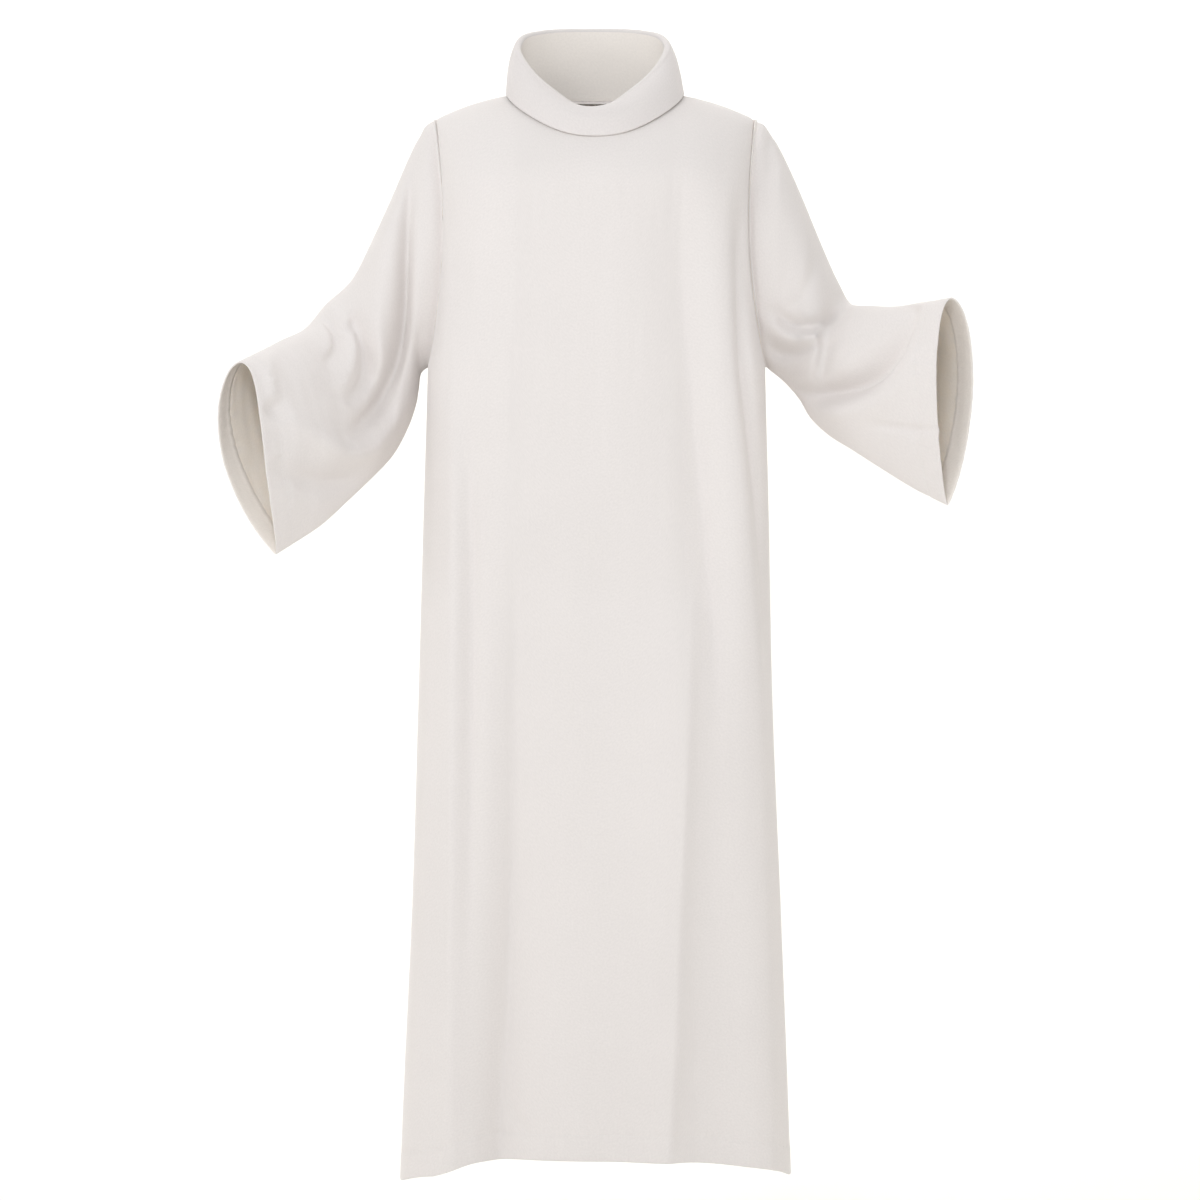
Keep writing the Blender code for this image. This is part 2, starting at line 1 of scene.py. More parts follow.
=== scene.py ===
import math
import bmesh
import bpy
import numpy as np
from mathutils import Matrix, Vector


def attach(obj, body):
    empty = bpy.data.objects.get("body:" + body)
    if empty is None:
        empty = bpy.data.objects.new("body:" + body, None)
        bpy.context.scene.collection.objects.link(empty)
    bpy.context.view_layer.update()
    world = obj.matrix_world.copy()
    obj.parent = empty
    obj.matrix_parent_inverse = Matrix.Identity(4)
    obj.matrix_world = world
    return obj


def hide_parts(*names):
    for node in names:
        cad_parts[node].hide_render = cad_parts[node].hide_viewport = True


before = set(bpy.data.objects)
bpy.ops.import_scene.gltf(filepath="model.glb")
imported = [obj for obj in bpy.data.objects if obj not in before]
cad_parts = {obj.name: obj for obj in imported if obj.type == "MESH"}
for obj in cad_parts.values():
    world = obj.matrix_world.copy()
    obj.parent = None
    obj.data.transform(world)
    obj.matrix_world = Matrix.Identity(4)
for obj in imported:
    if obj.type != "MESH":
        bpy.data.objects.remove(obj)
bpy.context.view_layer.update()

# Lengths are metres. Left and right are the wearer's: +X is left, and the front faces -Y.
# A fold is its crispness (2 is soft and round, 1 is a pressed edge) and stations (x, z, rise, right, left): where it
# runs in the front view, how far it rises (+) or sinks (-) there, and its half-widths towards the wearer's right and
# left. The last three are millimetres.

bodyForm = {
    "leftTip": 0.2212, "rightTip": -0.2268,          # ends of the shoulder line
    "shoulderTop": 0.010, "shoulderLevel": 0.070, "shoulderDrop": 0.038,
    "archHeight": 0.14, "archPower": 1.7,            # rounding of chest and back below the shoulders
    "napeRise": 0.035, "napePower": 1.5,
    "underarm": -0.375, "leftUnderarm": 0.2335, "rightUnderarm": -0.2348,
    "scoop": 0.018, "armholeDepth": 0.072, "edgeFade": 2, "softPower": 3, "softReach": 4,
    "neckShare": 0.5, "neckFront": -0.0514, "neckBack": 0.008, "neckEdgeFall": 0.5,
    "hemLeft": -1.4920, "hemRight": -1.5000, "hemBack": -1.4880,
    "frontRounding": 4.4, "backRounding": 3.4,
    "frontHem": (                                    # place across the front, height of its hem
        (-1.00, -1.5000), (-0.98, -1.4962), (-0.87, -1.4851), (-0.81, -1.4828), (-0.75, -1.4776), (-0.63, -1.4655),
        (-0.50, -1.4622), (-0.25, -1.4600), (0.00, -1.4590), (0.25, -1.4592), (0.50, -1.4605), (0.60, -1.4630),
        (0.73, -1.4673), (0.85, -1.4732), (0.95, -1.4832), (1.00, -1.4920),
    ),
    "girth": (                                       # z, right, left, front, back
        (0.100, -0.2348, 0.2335, 0.145, 0.126),
        (-0.375, -0.2348, 0.2335, 0.146, 0.130),
        (-0.560, -0.2400, 0.2380, 0.147, 0.132),
        (-0.840, -0.2478, 0.2436, 0.150, 0.136),
        (-1.120, -0.2562, 0.2548, 0.153, 0.142),
        (-1.400, -0.2690, 0.2655, 0.157, 0.149),
        (-1.520, -0.2735, 0.2695, 0.158, 0.152),
    ),
    "middleHalfWidth": 0.243, "middleHalfDepth": 0.148,
    "neckCentreY": -0.018,
    "unevenness": ((0.9, 0.16, 0.9), (0.35, 0.06, 0.35), (0.10, 0.02, 0.10)),
    "sideCalm": 0.03, "topCalm": 0.08,               # folds die away this near to the side seams and the shoulders
    "seamGap": 0.00015, "edgeStrip": 0.0006, "clothThick": 0.0011,
    "allowance": 0.009, "allowanceSteps": (0.12, 0.5, 1.0), "shortAllowance": 0.12,
    "seamDips": (0.0006, 0.0022), "dipReach": 0.006, "dipStart": 0.003,      # right and left side seam
    "hemDepth": 0.035, "hemRoll": 0.0012, "hemZone": 0.945,
}
middleX = (bodyForm["leftTip"] + bodyForm["rightTip"]) / 2
halfShoulder = (bodyForm["leftTip"] - bodyForm["rightTip"]) / 2
tiny = 1e-6
foldEdge = 0.003                                     # rounding of the crispest folds
foldSwitch = 0.002                                   # a fold's right half-width gives way to its left over this
foldFar = 3.2                                        # half-widths beyond which a fold is no longer felt
foldSteps = 8                                        # from one station of a fold to the next
waveCount, fullTurn = 5, 6.28


def stage(words):
    print("alb:", words, flush=True)


def readCurve(table, column, place):
    keys = np.array([row[0] for row in table], dtype=float)
    values = np.array([row[column] for row in table], dtype=float)
    if keys[0] > keys[-1]:
        keys, values = keys[::-1], values[::-1]
    slopes = np.gradient(values, keys)
    place = np.clip(np.asarray(place, dtype=float), keys[0], keys[-1])
    low = np.clip(np.searchsorted(keys, place, side="right") - 1, 0, len(keys) - 2)
    span = keys[low + 1] - keys[low]
    t = (place - keys[low]) / span
    rise = (2 * t ** 3 - 3 * t ** 2 + 1) * values[low] + (3 * t ** 2 - 2 * t ** 3) * values[low + 1]
    return rise + ((t ** 3 - 2 * t ** 2 + t) * slopes[low] + (t ** 3 - t ** 2) * slopes[low + 1]) * span


def ease(share):
    share = np.clip(share, 0.0, 1.0)
    return share * share * (3 - 2 * share)


def unit(vectors):
    return vectors / np.maximum(np.linalg.norm(vectors, axis=-1, keepdims=True), 1e-12)


def foldRise(folds, x, z):                           # height of the cloth over a list of folds
    total = np.zeros(x.shape)
    for power, stations in folds:
        numbered = [(index,) + tuple(row) for index, row in enumerate(stations)]
        steps = np.linspace(0, len(stations) - 1, foldSteps * (len(stations) - 1) + 1)
        px, pz, rise, right, left = (readCurve(numbered, column, steps) for column in range(1, 6))
        right, left = np.abs(right) / 1000, np.abs(left) / 1000
        far = foldFar * max(right.max(), left.max())
        near = (x > px.min() - far) & (x < px.max() + far) & (z > pz.min() - far) & (z < pz.max() + far)
        if not near.any():
            continue
        nx, nz = x[near], z[near]
        best = np.full(nx.shape, 1e9)
        height = np.zeros(nx.shape)
        for k in range(len(steps) - 1):
            dx, dz = px[k + 1] - px[k], pz[k + 1] - pz[k]
            along = np.clip(((nx - px[k]) * dx + (nz - pz[k]) * dz) / (dx * dx + dz * dz + 1e-12), 0, 1)
            awayX = nx - px[k] - along * dx
            gap = np.hypot(awayX, nz - pz[k] - along * dz)
            softGap = np.hypot(gap, foldEdge) - foldEdge
            closer = gap < best
            blend = 0.5 + 0.5 * np.tanh(awayX / foldSwitch)
            reach = (right[k] + (right[k + 1] - right[k]) * along) * (1 - blend)
            reach = reach + (left[k] + (left[k + 1] - left[k]) * along) * blend
            here = (rise[k] + (rise[k + 1] - rise[k]) * along) / 1000 * np.exp(-(softGap / reach) ** power)
            height = np.where(closer, here, height)
            best = np.where(closer, gap, best)
        total[near] += height
    return total


def ripple(x, z, seed, sizes):                       # soft unevenness; sizes are (amplitude mm, width m, length m)
    dice = np.random.default_rng(seed)
    total = np.zeros(np.shape(x))
    for amplitude, width, length in sizes:
        for _ in range(waveCount):
            phase, tilt, stretch = dice.uniform(0, fullTurn), dice.uniform(-0.5, 0.5), dice.uniform(0.7, 1.5)
            swingPhase, bend = dice.uniform(0, fullTurn), dice.uniform(0.4, 1.3)
            swing = np.sin(z * fullTurn / length * bend + swingPhase)
            across = (x + tilt * 0.3 * width * swing) * fullTurn / width * stretch
            wave = np.sin(across + z * fullTurn / length * tilt + phase)
            total += amplitude / 1000 / 2.2 * wave * (0.6 + 0.4 * swing)
    return total


def shoulderZ(x):
    beyond = np.clip(np.abs(x - middleX) - bodyForm["shoulderLevel"], 0, None)
    share = beyond / (halfShoulder - bodyForm["shoulderLevel"])
    return bodyForm["shoulderTop"] - bodyForm["shoulderDrop"] * share ** 2


def napeRise(face, x):
    if face < 0:
        return np.zeros_like(x)
    beside = (x - middleX) / (bodyForm["neckShare"] * halfShoulder)
    return bodyForm["napeRise"] * np.clip(1 - beside ** 2, 0, 1) ** bodyForm["napePower"]


def crown(u, rounding):
    return np.clip(1 - np.abs(u) ** rounding, 0, 1) ** (1 / rounding)


def sectionShare(face, u):                           # how much of its full depth a panel has across the body
    return crown(u, bodyForm["frontRounding"] if face < 0 else bodyForm["backRounding"])


def bodyDepth(face, z):
    return readCurve(bodyForm["girth"], 3 if face < 0 else 4, z)


def armholeEdge(side, turn):
    tip = bodyForm["leftTip"] if side > 0 else bodyForm["rightTip"]
    low = bodyForm["leftUnderarm"] if side > 0 else bodyForm["rightUnderarm"]
    share = (1 - np.cos(np.radians(turn))) / 2
    bulge = np.abs(np.sin(np.radians(turn)))
    x = tip + (low - tip) * share - side * bodyForm["scoop"] * bulge ** 2
    top = shoulderZ(tip)
    return x, bodyForm["armholeDepth"] * bulge, top + (bodyForm["underarm"] - top) * share


def armholeInward(side, face, turn):
    y, z = armholeEdge(side, turn)[1:]
    middle = (shoulderZ(bodyForm["leftTip"]) + bodyForm["underarm"]) / 2
    return unit(np.stack([np.zeros_like(y), -face * y, middle - z], axis=-1))


def topEdgeZ(face, u, x):
    neck = bodyForm["neckFront"] if face < 0 else bodyForm["neckBack"]
    seamEnd = shoulderZ(middleX + bodyForm["neckShare"] * halfShoulder)
    neckline = neck + (seamEnd - neck) * (np.abs(u) / bodyForm["neckShare"]) ** 2
    return np.where(np.abs(u) < bodyForm["neckShare"] - tiny, neckline, shoulderZ(x))


def hemZ(face, u):
    if face < 0:
        return readCurve(bodyForm["frontHem"], 1, u)
    side = bodyForm["hemRight"] + (bodyForm["hemLeft"] - bodyForm["hemRight"]) * (u + 1) / 2
    return side + (bodyForm["hemBack"] - side) * sectionShare(face, u) ** 2


def bodyRow(face, u, x, z, edgeY, folds, seed):
    fall = np.clip((shoulderZ(x) + napeRise(face, x) - z) / bodyForm["archHeight"], 0, 1)
    arch = (1 - (1 - fall) ** bodyForm["archPower"]) ** (1 / bodyForm["archPower"])
    share = sectionShare(face, u)
    softY = bodyForm["armholeDepth"] * (edgeY / bodyForm["armholeDepth"]) ** bodyForm["softPower"]
    beside = (1 - share) ** bodyForm["softReach"]
    edgeY = edgeY * beside + softY * (1 - beside)
    y = face * ((1 - share) ** bodyForm["edgeFade"] * edgeY + share * bodyDepth(face, z) * arch)
    outX = np.sign(u) * np.abs(u) ** 3
    outY = face * np.maximum(share, 0.02)
    length = np.hypot(outX, outY)
    push = foldRise(folds, x, z) + ripple(x, z, seed, bodyForm["unevenness"])
    push = push * ease((1 - np.abs(u)) / bodyForm["sideCalm"]) * ease((shoulderZ(x) - z) / bodyForm["topCalm"])
    return np.stack([x + push * outX / length, y + push * outY / length, z], axis=-1)


def runAlong(points):                                # distance along a line of points, from its start
    return np.concatenate([[0], np.cumsum(np.linalg.norm(np.diff(points, axis=0), axis=-1))])


def evenColumns(face, count):                        # places across a panel, evenly spaced along its curve
    fine = np.sin(np.radians(np.linspace(-90, 90, 4001)))
    run = np.concatenate([[0], np.cumsum(np.hypot(np.diff(fine) * bodyForm["middleHalfWidth"],
                                                  np.diff(sectionShare(face, fine)) * bodyForm["middleHalfDepth"]))])
    places = np.linspace(0, run[-1], count)
    strip = bodyForm["edgeStrip"]                    # a narrow strip at each side keeps the seam's edge crisp
    places = np.concatenate([places[:1], [strip], places[1:-1], [run[-1] - strip], places[-1:]])
    u = np.interp(places, run, fine)
    for target in (-bodyForm["neckShare"], bodyForm["neckShare"]):   # a column meets each end of the neckline
        u[np.argmin(np.abs(u - target))] = target
    u[0], u[-1] = -1, 1
    return u


def surfaceOut(points, closed):                      # directions out of a grid's front side
    down = np.gradient(points, axis=0)
    if closed:
        across = np.roll(points, -1, axis=1) - np.roll(points, 1, axis=1)
    else:
        across = np.gradient(points, axis=1)
    return unit(np.cross(across, down))


def edgeRuns(points, closed):                        # distance along rows and down columns, for the weave
    ring = np.concatenate([points, points[:, :1]], axis=1) if closed else points
    runs = []
    for axis, zeros in ((1, np.zeros((len(ring), 1))), (0, np.zeros((1, ring.shape[1])))):
        gaps = np.linalg.norm(np.diff(ring, axis=axis), axis=-1)
        runs.append(np.concatenate([zeros, np.cumsum(gaps, axis=axis)], axis=axis))
    middle = ring.shape[1] // 2
    return np.stack([runs[0] - runs[0][:, middle:middle + 1], -runs[1]], axis=-1)


def addPiece(name, mesh):
    piece = bpy.data.objects.new(name, mesh)
    bpy.context.scene.collection.objects.link(piece)
    return piece


# A shell of two skins with rounded rims. Its materials are the outside, the inside, and the rows that lie doubled.
# Its rims stand out past the edge by lip, in thicknesses of the cloth.
def makeCloth(name, outer, inner, closed, materials, doubled=range(0), lip=0.35):
    rows, columns = outer.shape[:2]
    spans = columns if closed else columns - 1
    verts = [outer.reshape(-1, 3), inner.reshape(-1, 3)]
    runs = edgeRuns(outer, closed)
    i, j = np.meshgrid(np.arange(rows - 1), np.arange(spans), indexing="ij")
    k = (j + 1) % columns
    corners = [np.stack([runs[i, j], runs[i, j + 1], runs[i + 1, j + 1], runs[i + 1, j]], axis=2).reshape(-1, 4, 2)]
    here, below = i * columns, (i + 1) * columns
    outerFaces = np.stack([here + j, here + k, below + k, below + j], axis=2).reshape(-1, 4)
    shift = rows * columns
    faces = [outerFaces, outerFaces[:, ::-1] + shift]
    corners.append(corners[0][:, ::-1])
    marks = [2 * np.isin(i.reshape(-1), list(doubled)).astype(int), np.ones(len(outerFaces), int)]
    count = 2 * shift

    def rim(pointIds, nextIds, runList, flip):       # a mid line bulged past the edge joins the two skins
        nonlocal count
        o, n = verts[0][pointIds], verts[1][pointIds]
        away = unit((o + n) / 2 - (verts[0][nextIds] + verts[1][nextIds]) / 2)
        thick = np.linalg.norm(o - n, axis=-1, keepdims=True)
        verts.append((o + n) / 2 + away * thick * lip)
        mid = np.arange(len(pointIds)) + count
        count += len(pointIds)
        last = len(pointIds) if closed else len(pointIds) - 1
        a = np.arange(last)
        b = (a + 1) % len(pointIds)
        for first, second, shade in ((pointIds, mid, 0), (mid, pointIds + shift, 1)):
            quad = np.stack([first[a], first[b], second[b], second[a]], axis=1)
            faces.append(quad[:, ::-1] if flip else quad)
            ahead = runList[a + 1 if closed else b]
            flat = np.stack([runList[a], ahead, ahead, runList[a]], axis=1)
            corners.append(flat[:, ::-1] if flip else flat)
            marks.append(np.full(last, shade))

    line = np.arange(columns)
    rim(line, line + columns, runs[0], True)
    rim(line + (rows - 1) * columns, line + (rows - 2) * columns, runs[-1], False)
    if not closed:
        upright = np.arange(rows) * columns
        rim(upright, upright + 1, runs[:, 0], False)
        rim(upright + columns - 1, upright + columns - 2, runs[:, -1], True)
    mesh = bpy.data.meshes.new(name)
    mesh.from_pydata(np.concatenate(verts).tolist(), [], np.concatenate(faces).tolist())
    layer = mesh.uv_layers.new(name="weave")
    layer.data.foreach_set("uv", np.concatenate(corners).reshape(-1).astype(np.float32))
    for material in materials:
        mesh.materials.append(material)
    mesh.polygons.foreach_set("material_index", np.concatenate(marks).astype(np.int32))
    mesh.validate()
    closeCorners(mesh)
    mesh.shade_smooth()
    return addPiece(name, mesh)


def closeCorners(mesh):                              # fills what the rims leave open at the four corners
    shell = bmesh.new()
    shell.from_mesh(mesh)
    openEdges = [edge for edge in shell.edges if edge.is_boundary]
    if openEdges:
        bmesh.ops.holes_fill(shell, edges=openEdges, sides=6)
    bmesh.ops.recalc_face_normals(shell, faces=shell.faces[:])
    shell.to_mesh(mesh)
    shell.free()


frontPanel = {
    "columns": 240, "skirtRows": 100, "hemRows": 22, "armRows": 50, "seed": 11,
    "folds": (
        (1.2, ((0.112, -0.090, -1, 36, 40), (0.114, -0.150, -6, 38, 42), (0.116, -0.198, -10, 38, 42),
              (0.118, -0.252, -13, 38, 40), (0.124, -0.361, -15, 38, 38), (0.134, -0.442, -17, 36, 34),
              (0.142, -0.524, -18, 34, 30), (0.150, -0.605, -17, 32, 26), (0.157, -0.686, -14, 28, 24),
              (0.160, -0.741, -10, 24, 22), (0.161, -0.795, -5, 20, 18), (0.162, -0.870, 0, 16, 16))),
        (1.1, ((0.128, -0.680, 0, 110, 26), (0.125, -0.750, 11, 110, 24), (0.121, -0.830, 19, 110, 24),
              (0.119, -0.904, 23, 110, 25), (0.117, -0.958, 25, 110, 26), (0.112, -1.066, 26, 110, 27),
              (0.107, -1.175, 27, 110, 27), (0.104, -1.283, 28, 110, 27), (0.098, -1.392, 28, 110, 27),
              (0.092, -1.530, 28, 110, 27))),
        (2, ((0.168, -0.130, 0, 22, 16), (0.172, -0.250, 5, 24, 18), (0.178, -0.420, 7, 28, 20),
              (0.190, -0.560, 10, 32, 22), (0.204, -0.760, 13, 38, 22), (0.212, -1.000, 15, 42, 24),
              (0.218, -1.250, 16, 44, 24), (0.224, -1.530, 17, 44, 24))),
        (1.4, ((0.196, -0.130, 0, 10, 7), (0.199, -0.188, -7, 9, 6), (0.199, -0.250, -11, 9, 6),
              (0.201, -0.361, -12, 9, 6), (0.208, -0.430, -12, 9, 7), (0.217, -0.520, -11, 9, 7),
              (0.224, -0.632, -8, 9, 7), (0.230, -0.741, -5, 9, 8), (0.233, -0.900, 0, 10, 8))),
        (1.5, ((-0.194, -0.400, 0, 16, 12), (-0.192, -0.520, 7, 16, 12), (-0.192, -0.700, 9, 16, 12),
              (-0.194, -1.000, 9, 16, 12), (-0.196, -1.200, 8, 16, 12), (-0.200, -1.530, 6, 16, 14))),
        (1.3, ((-0.175, -0.460, 0, 8, 10), (-0.175, -0.560, -5, 8, 11), (-0.174, -0.640, -8, 8, 12),
              (-0.174, -0.820, -8, 8, 12), (-0.175, -1.000, -6, 8, 12), (-0.176, -1.120, -3, 8, 12),
              (-0.176, -1.200, 0, 8, 12))),
        (1.4, ((-0.110, -0.620, 0, 34, 50), (-0.110, -0.760, -10, 30, 50), (-0.111, -0.850, -15, 29, 52),
              (-0.112, -0.960, -21, 28, 54), (-0.115, -1.070, -26, 28, 56), (-0.119, -1.170, -30, 28, 56),
              (-0.122, -1.250, -32, 28, 56), (-0.129, -1.338, -33, 27, 54), (-0.134, -1.430, -34, 26, 54),
              (-0.137, -1.530, -34, 26, 54))),
        (2, ((0.014, -0.540, 0, 26, 30), (0.016, -0.646, -2.5, 26, 30), (0.018, -0.904, -3, 28, 32),
              (0.016, -1.244, -2.5, 30, 32), (0.014, -1.530, -3.5, 32, 32))),
        (2, ((-0.122, -1.370, 0, 5, 5), (-0.115, -1.395, -1.6, 5, 5), (-0.101, -1.418, -1.6, 5, 5),
              (-0.092, -1.432, 0, 5, 5))),
        (2, ((-0.202, -0.090, 0, 14, 20), (-0.196, -0.180, -3, 14, 22), (-0.190, -0.280, -3, 14, 22),
              (-0.186, -0.370, 0, 14, 22))),
        (2, ((-0.120, -0.100, 0, 24, 24), (-0.150, -0.250, 1.6, 24, 24), (-0.170, -0.420, 0, 24, 24))),
        (2, ((0.040, -0.100, 0, 26, 26), (0.036, -0.260, 1.4, 30, 30), (0.034, -0.460, 0, 30, 30))),
    ),
}
backPanel = {
    "columns": 230, "skirtRows": 100, "hemRows": 22, "armRows": 50, "seed": 23,
    "folds": (
        (1.5, ((-0.052, -0.240, 0, 30, 26), (-0.058, -0.500, -6, 28, 24), (-0.066, -0.800, -10, 26, 20),
              (-0.080, -1.150, -14, 24, 14), (-0.094, -1.540, -18, 26, 12))),
        (2, ((0.018, -0.350, 0, 40, 36), (0.014, -0.800, 5, 38, 34), (0.010, -1.150, 8, 36, 32),
              (0.004, -1.540, 11, 34, 30))),
        (1.5, ((0.078, -0.200, 0, 26, 34), (0.084, -0.500, -6, 22, 34), (0.092, -0.850, -9, 16, 34),
              (0.103, -1.180, -12, 12, 32), (0.116, -1.540, -15, 12, 32))),
        (2, ((-0.150, -0.420, 0, 28, 26), (-0.158, -0.800, 4, 26, 24), (-0.168, -1.150, 7, 24, 22),
              (-0.176, -1.540, 8, 22, 20))),
        (2, ((-0.200, -0.300, 0, 12, 12), (-0.208, -0.500, -4, 11, 12), (-0.216, -0.900, -6, 12, 13),
              (-0.223, -1.540, -7, 13, 14))),
        (2, ((0.168, -0.500, 0, 26, 24), (0.174, -0.850, 4, 24, 22), (0.180, -1.150, 6, 22, 22),
              (0.186, -1.540, 8, 22, 22))),
        (2, ((0.202, -0.260, 0, 12, 12), (0.210, -0.460, -4, 11, 12), (0.220, -0.900, -5, 12, 12),
              (0.230, -1.540, -6, 13, 13))),
        (2, ((-0.130, -0.130, 0, 30, 30), (-0.120, -0.260, 2, 30, 30), (-0.110, -0.420, 0, 30, 30))),
        (2, ((0.120, -0.140, 0, 26, 26), (0.135, -0.270, 2, 26, 26), (0.150, -0.400, 0, 26, 26))),
        (2, ((0.030, -0.070, 0, 20, 20), (0.020, -0.130, -1.5, 22, 22), (0.010, -0.230, 0, 22, 22))),
    ),
}


def panelGrid(face, u, settings):
    x, z, edge = [], [], []
    tipX = bodyForm["rightTip"] + (bodyForm["leftTip"] - bodyForm["rightTip"]) * (u + 1) / 2
    start = topEdgeZ(face, u, tipX)
    for turn in np.linspace(0, 180, settings["armRows"] + 1):
        leftX, edgeY, _ = armholeEdge(1, turn)
        rightX = armholeEdge(-1, turn)[0]
        x.append(rightX + (leftX - rightX) * (u + 1) / 2)
        z.append(start + (bodyForm["underarm"] - start) * (1 - math.cos(math.radians(turn))) / 2)
        edge.append(np.full(u.shape, edgeY))
    falls = np.concatenate([np.linspace(0, bodyForm["hemZone"], settings["skirtRows"], endpoint=False),
                            np.linspace(bodyForm["hemZone"], 1, settings["hemRows"])])
    for fall in falls[1:]:                           # rows stand closer along the hem
        low = bodyForm["underarm"] + (hemZ(face, u) - bodyForm["underarm"]) * fall
        rightX, leftX = (readCurve(bodyForm["girth"], column, low) for column in (1, 2))
        x.append(rightX + (leftX - rightX) * (u + 1) / 2)
        z.append(low)
        edge.append(np.zeros(u.shape))
    return bodyRow(face, np.broadcast_to(u, (len(x), len(u))), np.array(x), np.array(z), np.array(edge),
                   settings["folds"], settings["seed"])


def neckInward(points):
    toward = unit(np.stack([middleX - points[:, 0], bodyForm["neckCentreY"] - points[:, 1]], axis=-1))
    return unit(np.concatenate([toward, np.full((len(points), 1), -bodyForm["neckEdgeFall"])], axis=-1))


def turnHem(points, out, depth, roll):               # adds the rows that roll under the edge and run back up inside
    rows = []
    down = unit(points[-1] - points[-2])
    for angle in np.radians((45, 90, 135, 180)):
        rows.append(points[-1] + down * roll * math.sin(angle) - out[-1] * roll * (1 - math.cos(angle)))
    step = np.linalg.norm(points[-1] - points[-2], axis=-1).mean()
    for back in range(1, int(round(depth / step)) + 1):
        rows.append(points[-1 - back] - out[-1 - back] * 2 * roll)
    return np.concatenate([points, np.array(rows)], axis=0)


hemFinish = {
    "proud": 0.00035, "proudEdge": 0.002, "dimple": 0.0006, "dimpleReach": 0.0022, "puckerReach": 0.006,
    "pucker": ((0.55, 0.022, 0.2), (0.35, 0.011, 0.2)), "puckerBelow": 0.35, "puckerFade": 0.01,
}


def hemLine(points, out, depth, seed):               # the hem stands a little proud and dimples along its stitches
    fromEdge = np.cumsum(np.linalg.norm(np.diff(points[::-1], axis=0), axis=-1), axis=0)[::-1]
    fromEdge = np.concatenate([fromEdge, np.zeros((1, points.shape[1]))], axis=0)
    along = np.cumsum(np.linalg.norm(np.diff(points[-1], axis=0, prepend=points[-1][:1]), axis=-1))
    pucker = ripple(np.broadcast_to(along, fromEdge.shape), fromEdge, seed, hemFinish["pucker"])
    nearStitch = np.exp(-((fromEdge - depth) / hemFinish["puckerReach"]) ** 2)
    rise = hemFinish["proud"] * ease((depth - fromEdge) / hemFinish["proudEdge"])
    rise = rise - hemFinish["dimple"] * np.exp(-((fromEdge - depth) / hemFinish["dimpleReach"]) ** 2)
    below = hemFinish["puckerBelow"] * ease((depth - fromEdge) / hemFinish["puckerFade"])
    rise = rise + pucker * (nearStitch + below)
    return points + out * rise[..., None]


def stitchPlace(points, out, depth, columns):        # the row that the hem's stitches run along
    spacing = np.linalg.norm(points[-1] - points[-2], axis=-1).mean()
    row = len(points) - 1 - int(round(depth / spacing))
    return points[row, columns].copy(), out[row, columns].copy()


def makePanel(name, face, settings, materials):
    u = evenColumns(face, settings["columns"])
    points = panelGrid(face, u, settings)
    gap, allowance = bodyForm["seamGap"], bodyForm["allowance"]
    turns = np.linspace(0, 180, settings["armRows"] + 1)
    under = settings["armRows"]
    shoulder = np.abs(u) > bodyForm["neckShare"] - tiny
    neck = np.abs(u) < bodyForm["neckShare"] + tiny
    points[0, shoulder, 1] = face * gap / 2
    sideIn = np.zeros((2, len(points), 3))
    for end, (column, side) in enumerate(((0, -1), (-1, 1))):
        points[:under + 1, column, 0] -= side * gap / 2
        points[under:, column, 1] = face * gap / 2
        sideIn[end, :under + 1] = armholeInward(side, face, turns)
        sideIn[end, under + 1:] = (-side, 0, 0)
    out = surfaceOut(points, False) * face
    # the side seams pull their edges in a little
    edge = np.zeros((len(points), 1))
    for end, order in ((0, 1), (-1, -1)):
        across = np.linalg.norm(np.diff(points, axis=1), axis=-1)
        run = np.cumsum(across[:, ::order], axis=1)[:, ::order]
        run = np.concatenate([edge, run] if end == 0 else [run, edge], axis=1)
        pinch = bodyForm["seamDips"][end] * np.exp(-(run / bodyForm["dipReach"]) ** 2)
        pinch[:, end] = 0
        points = points - out * (pinch * ease(run / bodyForm["dipStart"]))[..., None]
    points = hemLine(points, out, bodyForm["hemDepth"], settings["seed"] + 1)
    out = surfaceOut(points, False) * face
    stitchLine = stitchPlace(points, out, bodyForm["hemDepth"], slice(3, -3))
    topIn = np.zeros((len(u), 3))
    topIn[shoulder] = (0, 0, -1)
    topIn[neck] = neckInward(points[0, neck])
    grid = turnHem(points, out, bodyForm["hemDepth"], bodyForm["hemRoll"])
    # seam allowances turned to the inside, short where two of them meet
    row, last = np.arange(len(grid)), len(points) - 1
    rowOf = np.minimum(row, last)
    short = bodyForm["shortAllowance"]
    fromTop = np.minimum(row / 6, 1) * np.clip((last - row) / 8, short, 1)
    reach = allowance * np.maximum(fromTop, short)
    sides = []
    for end, column in enumerate((0, -1)):
        fold = sideIn[end][rowOf]
        edge = grid[:, column]
        sides.append([edge + fold * (reach * share)[:, None] for share in bodyForm["allowanceSteps"]])
    wide = np.concatenate([np.stack(sides[0][::-1], axis=1), grid, np.stack(sides[1], axis=1)], axis=1)
    topFold = np.concatenate([np.repeat(topIn[:1], 3, 0), topIn, np.repeat(topIn[-1:], 3, 0)])
    column = np.arange(wide.shape[1])
    fromCorner = np.minimum(column, column[::-1])
    topReach = allowance * np.clip((fromCorner - 3) / 8, 0.08, 1)
    bands = [wide[0] + topFold * (topReach * share)[:, None] for share in bodyForm["allowanceSteps"][::-1]]
    wide = np.concatenate([np.stack(bands), wide])
    inside = wide - surfaceOut(wide, False) * face * bodyForm["clothThick"]
    turned = range(len(bands) + len(points) + 2, len(grid))
    return makeCloth(name, wide, inside, False, materials, turned), stitchLine


stage("helpers ready")

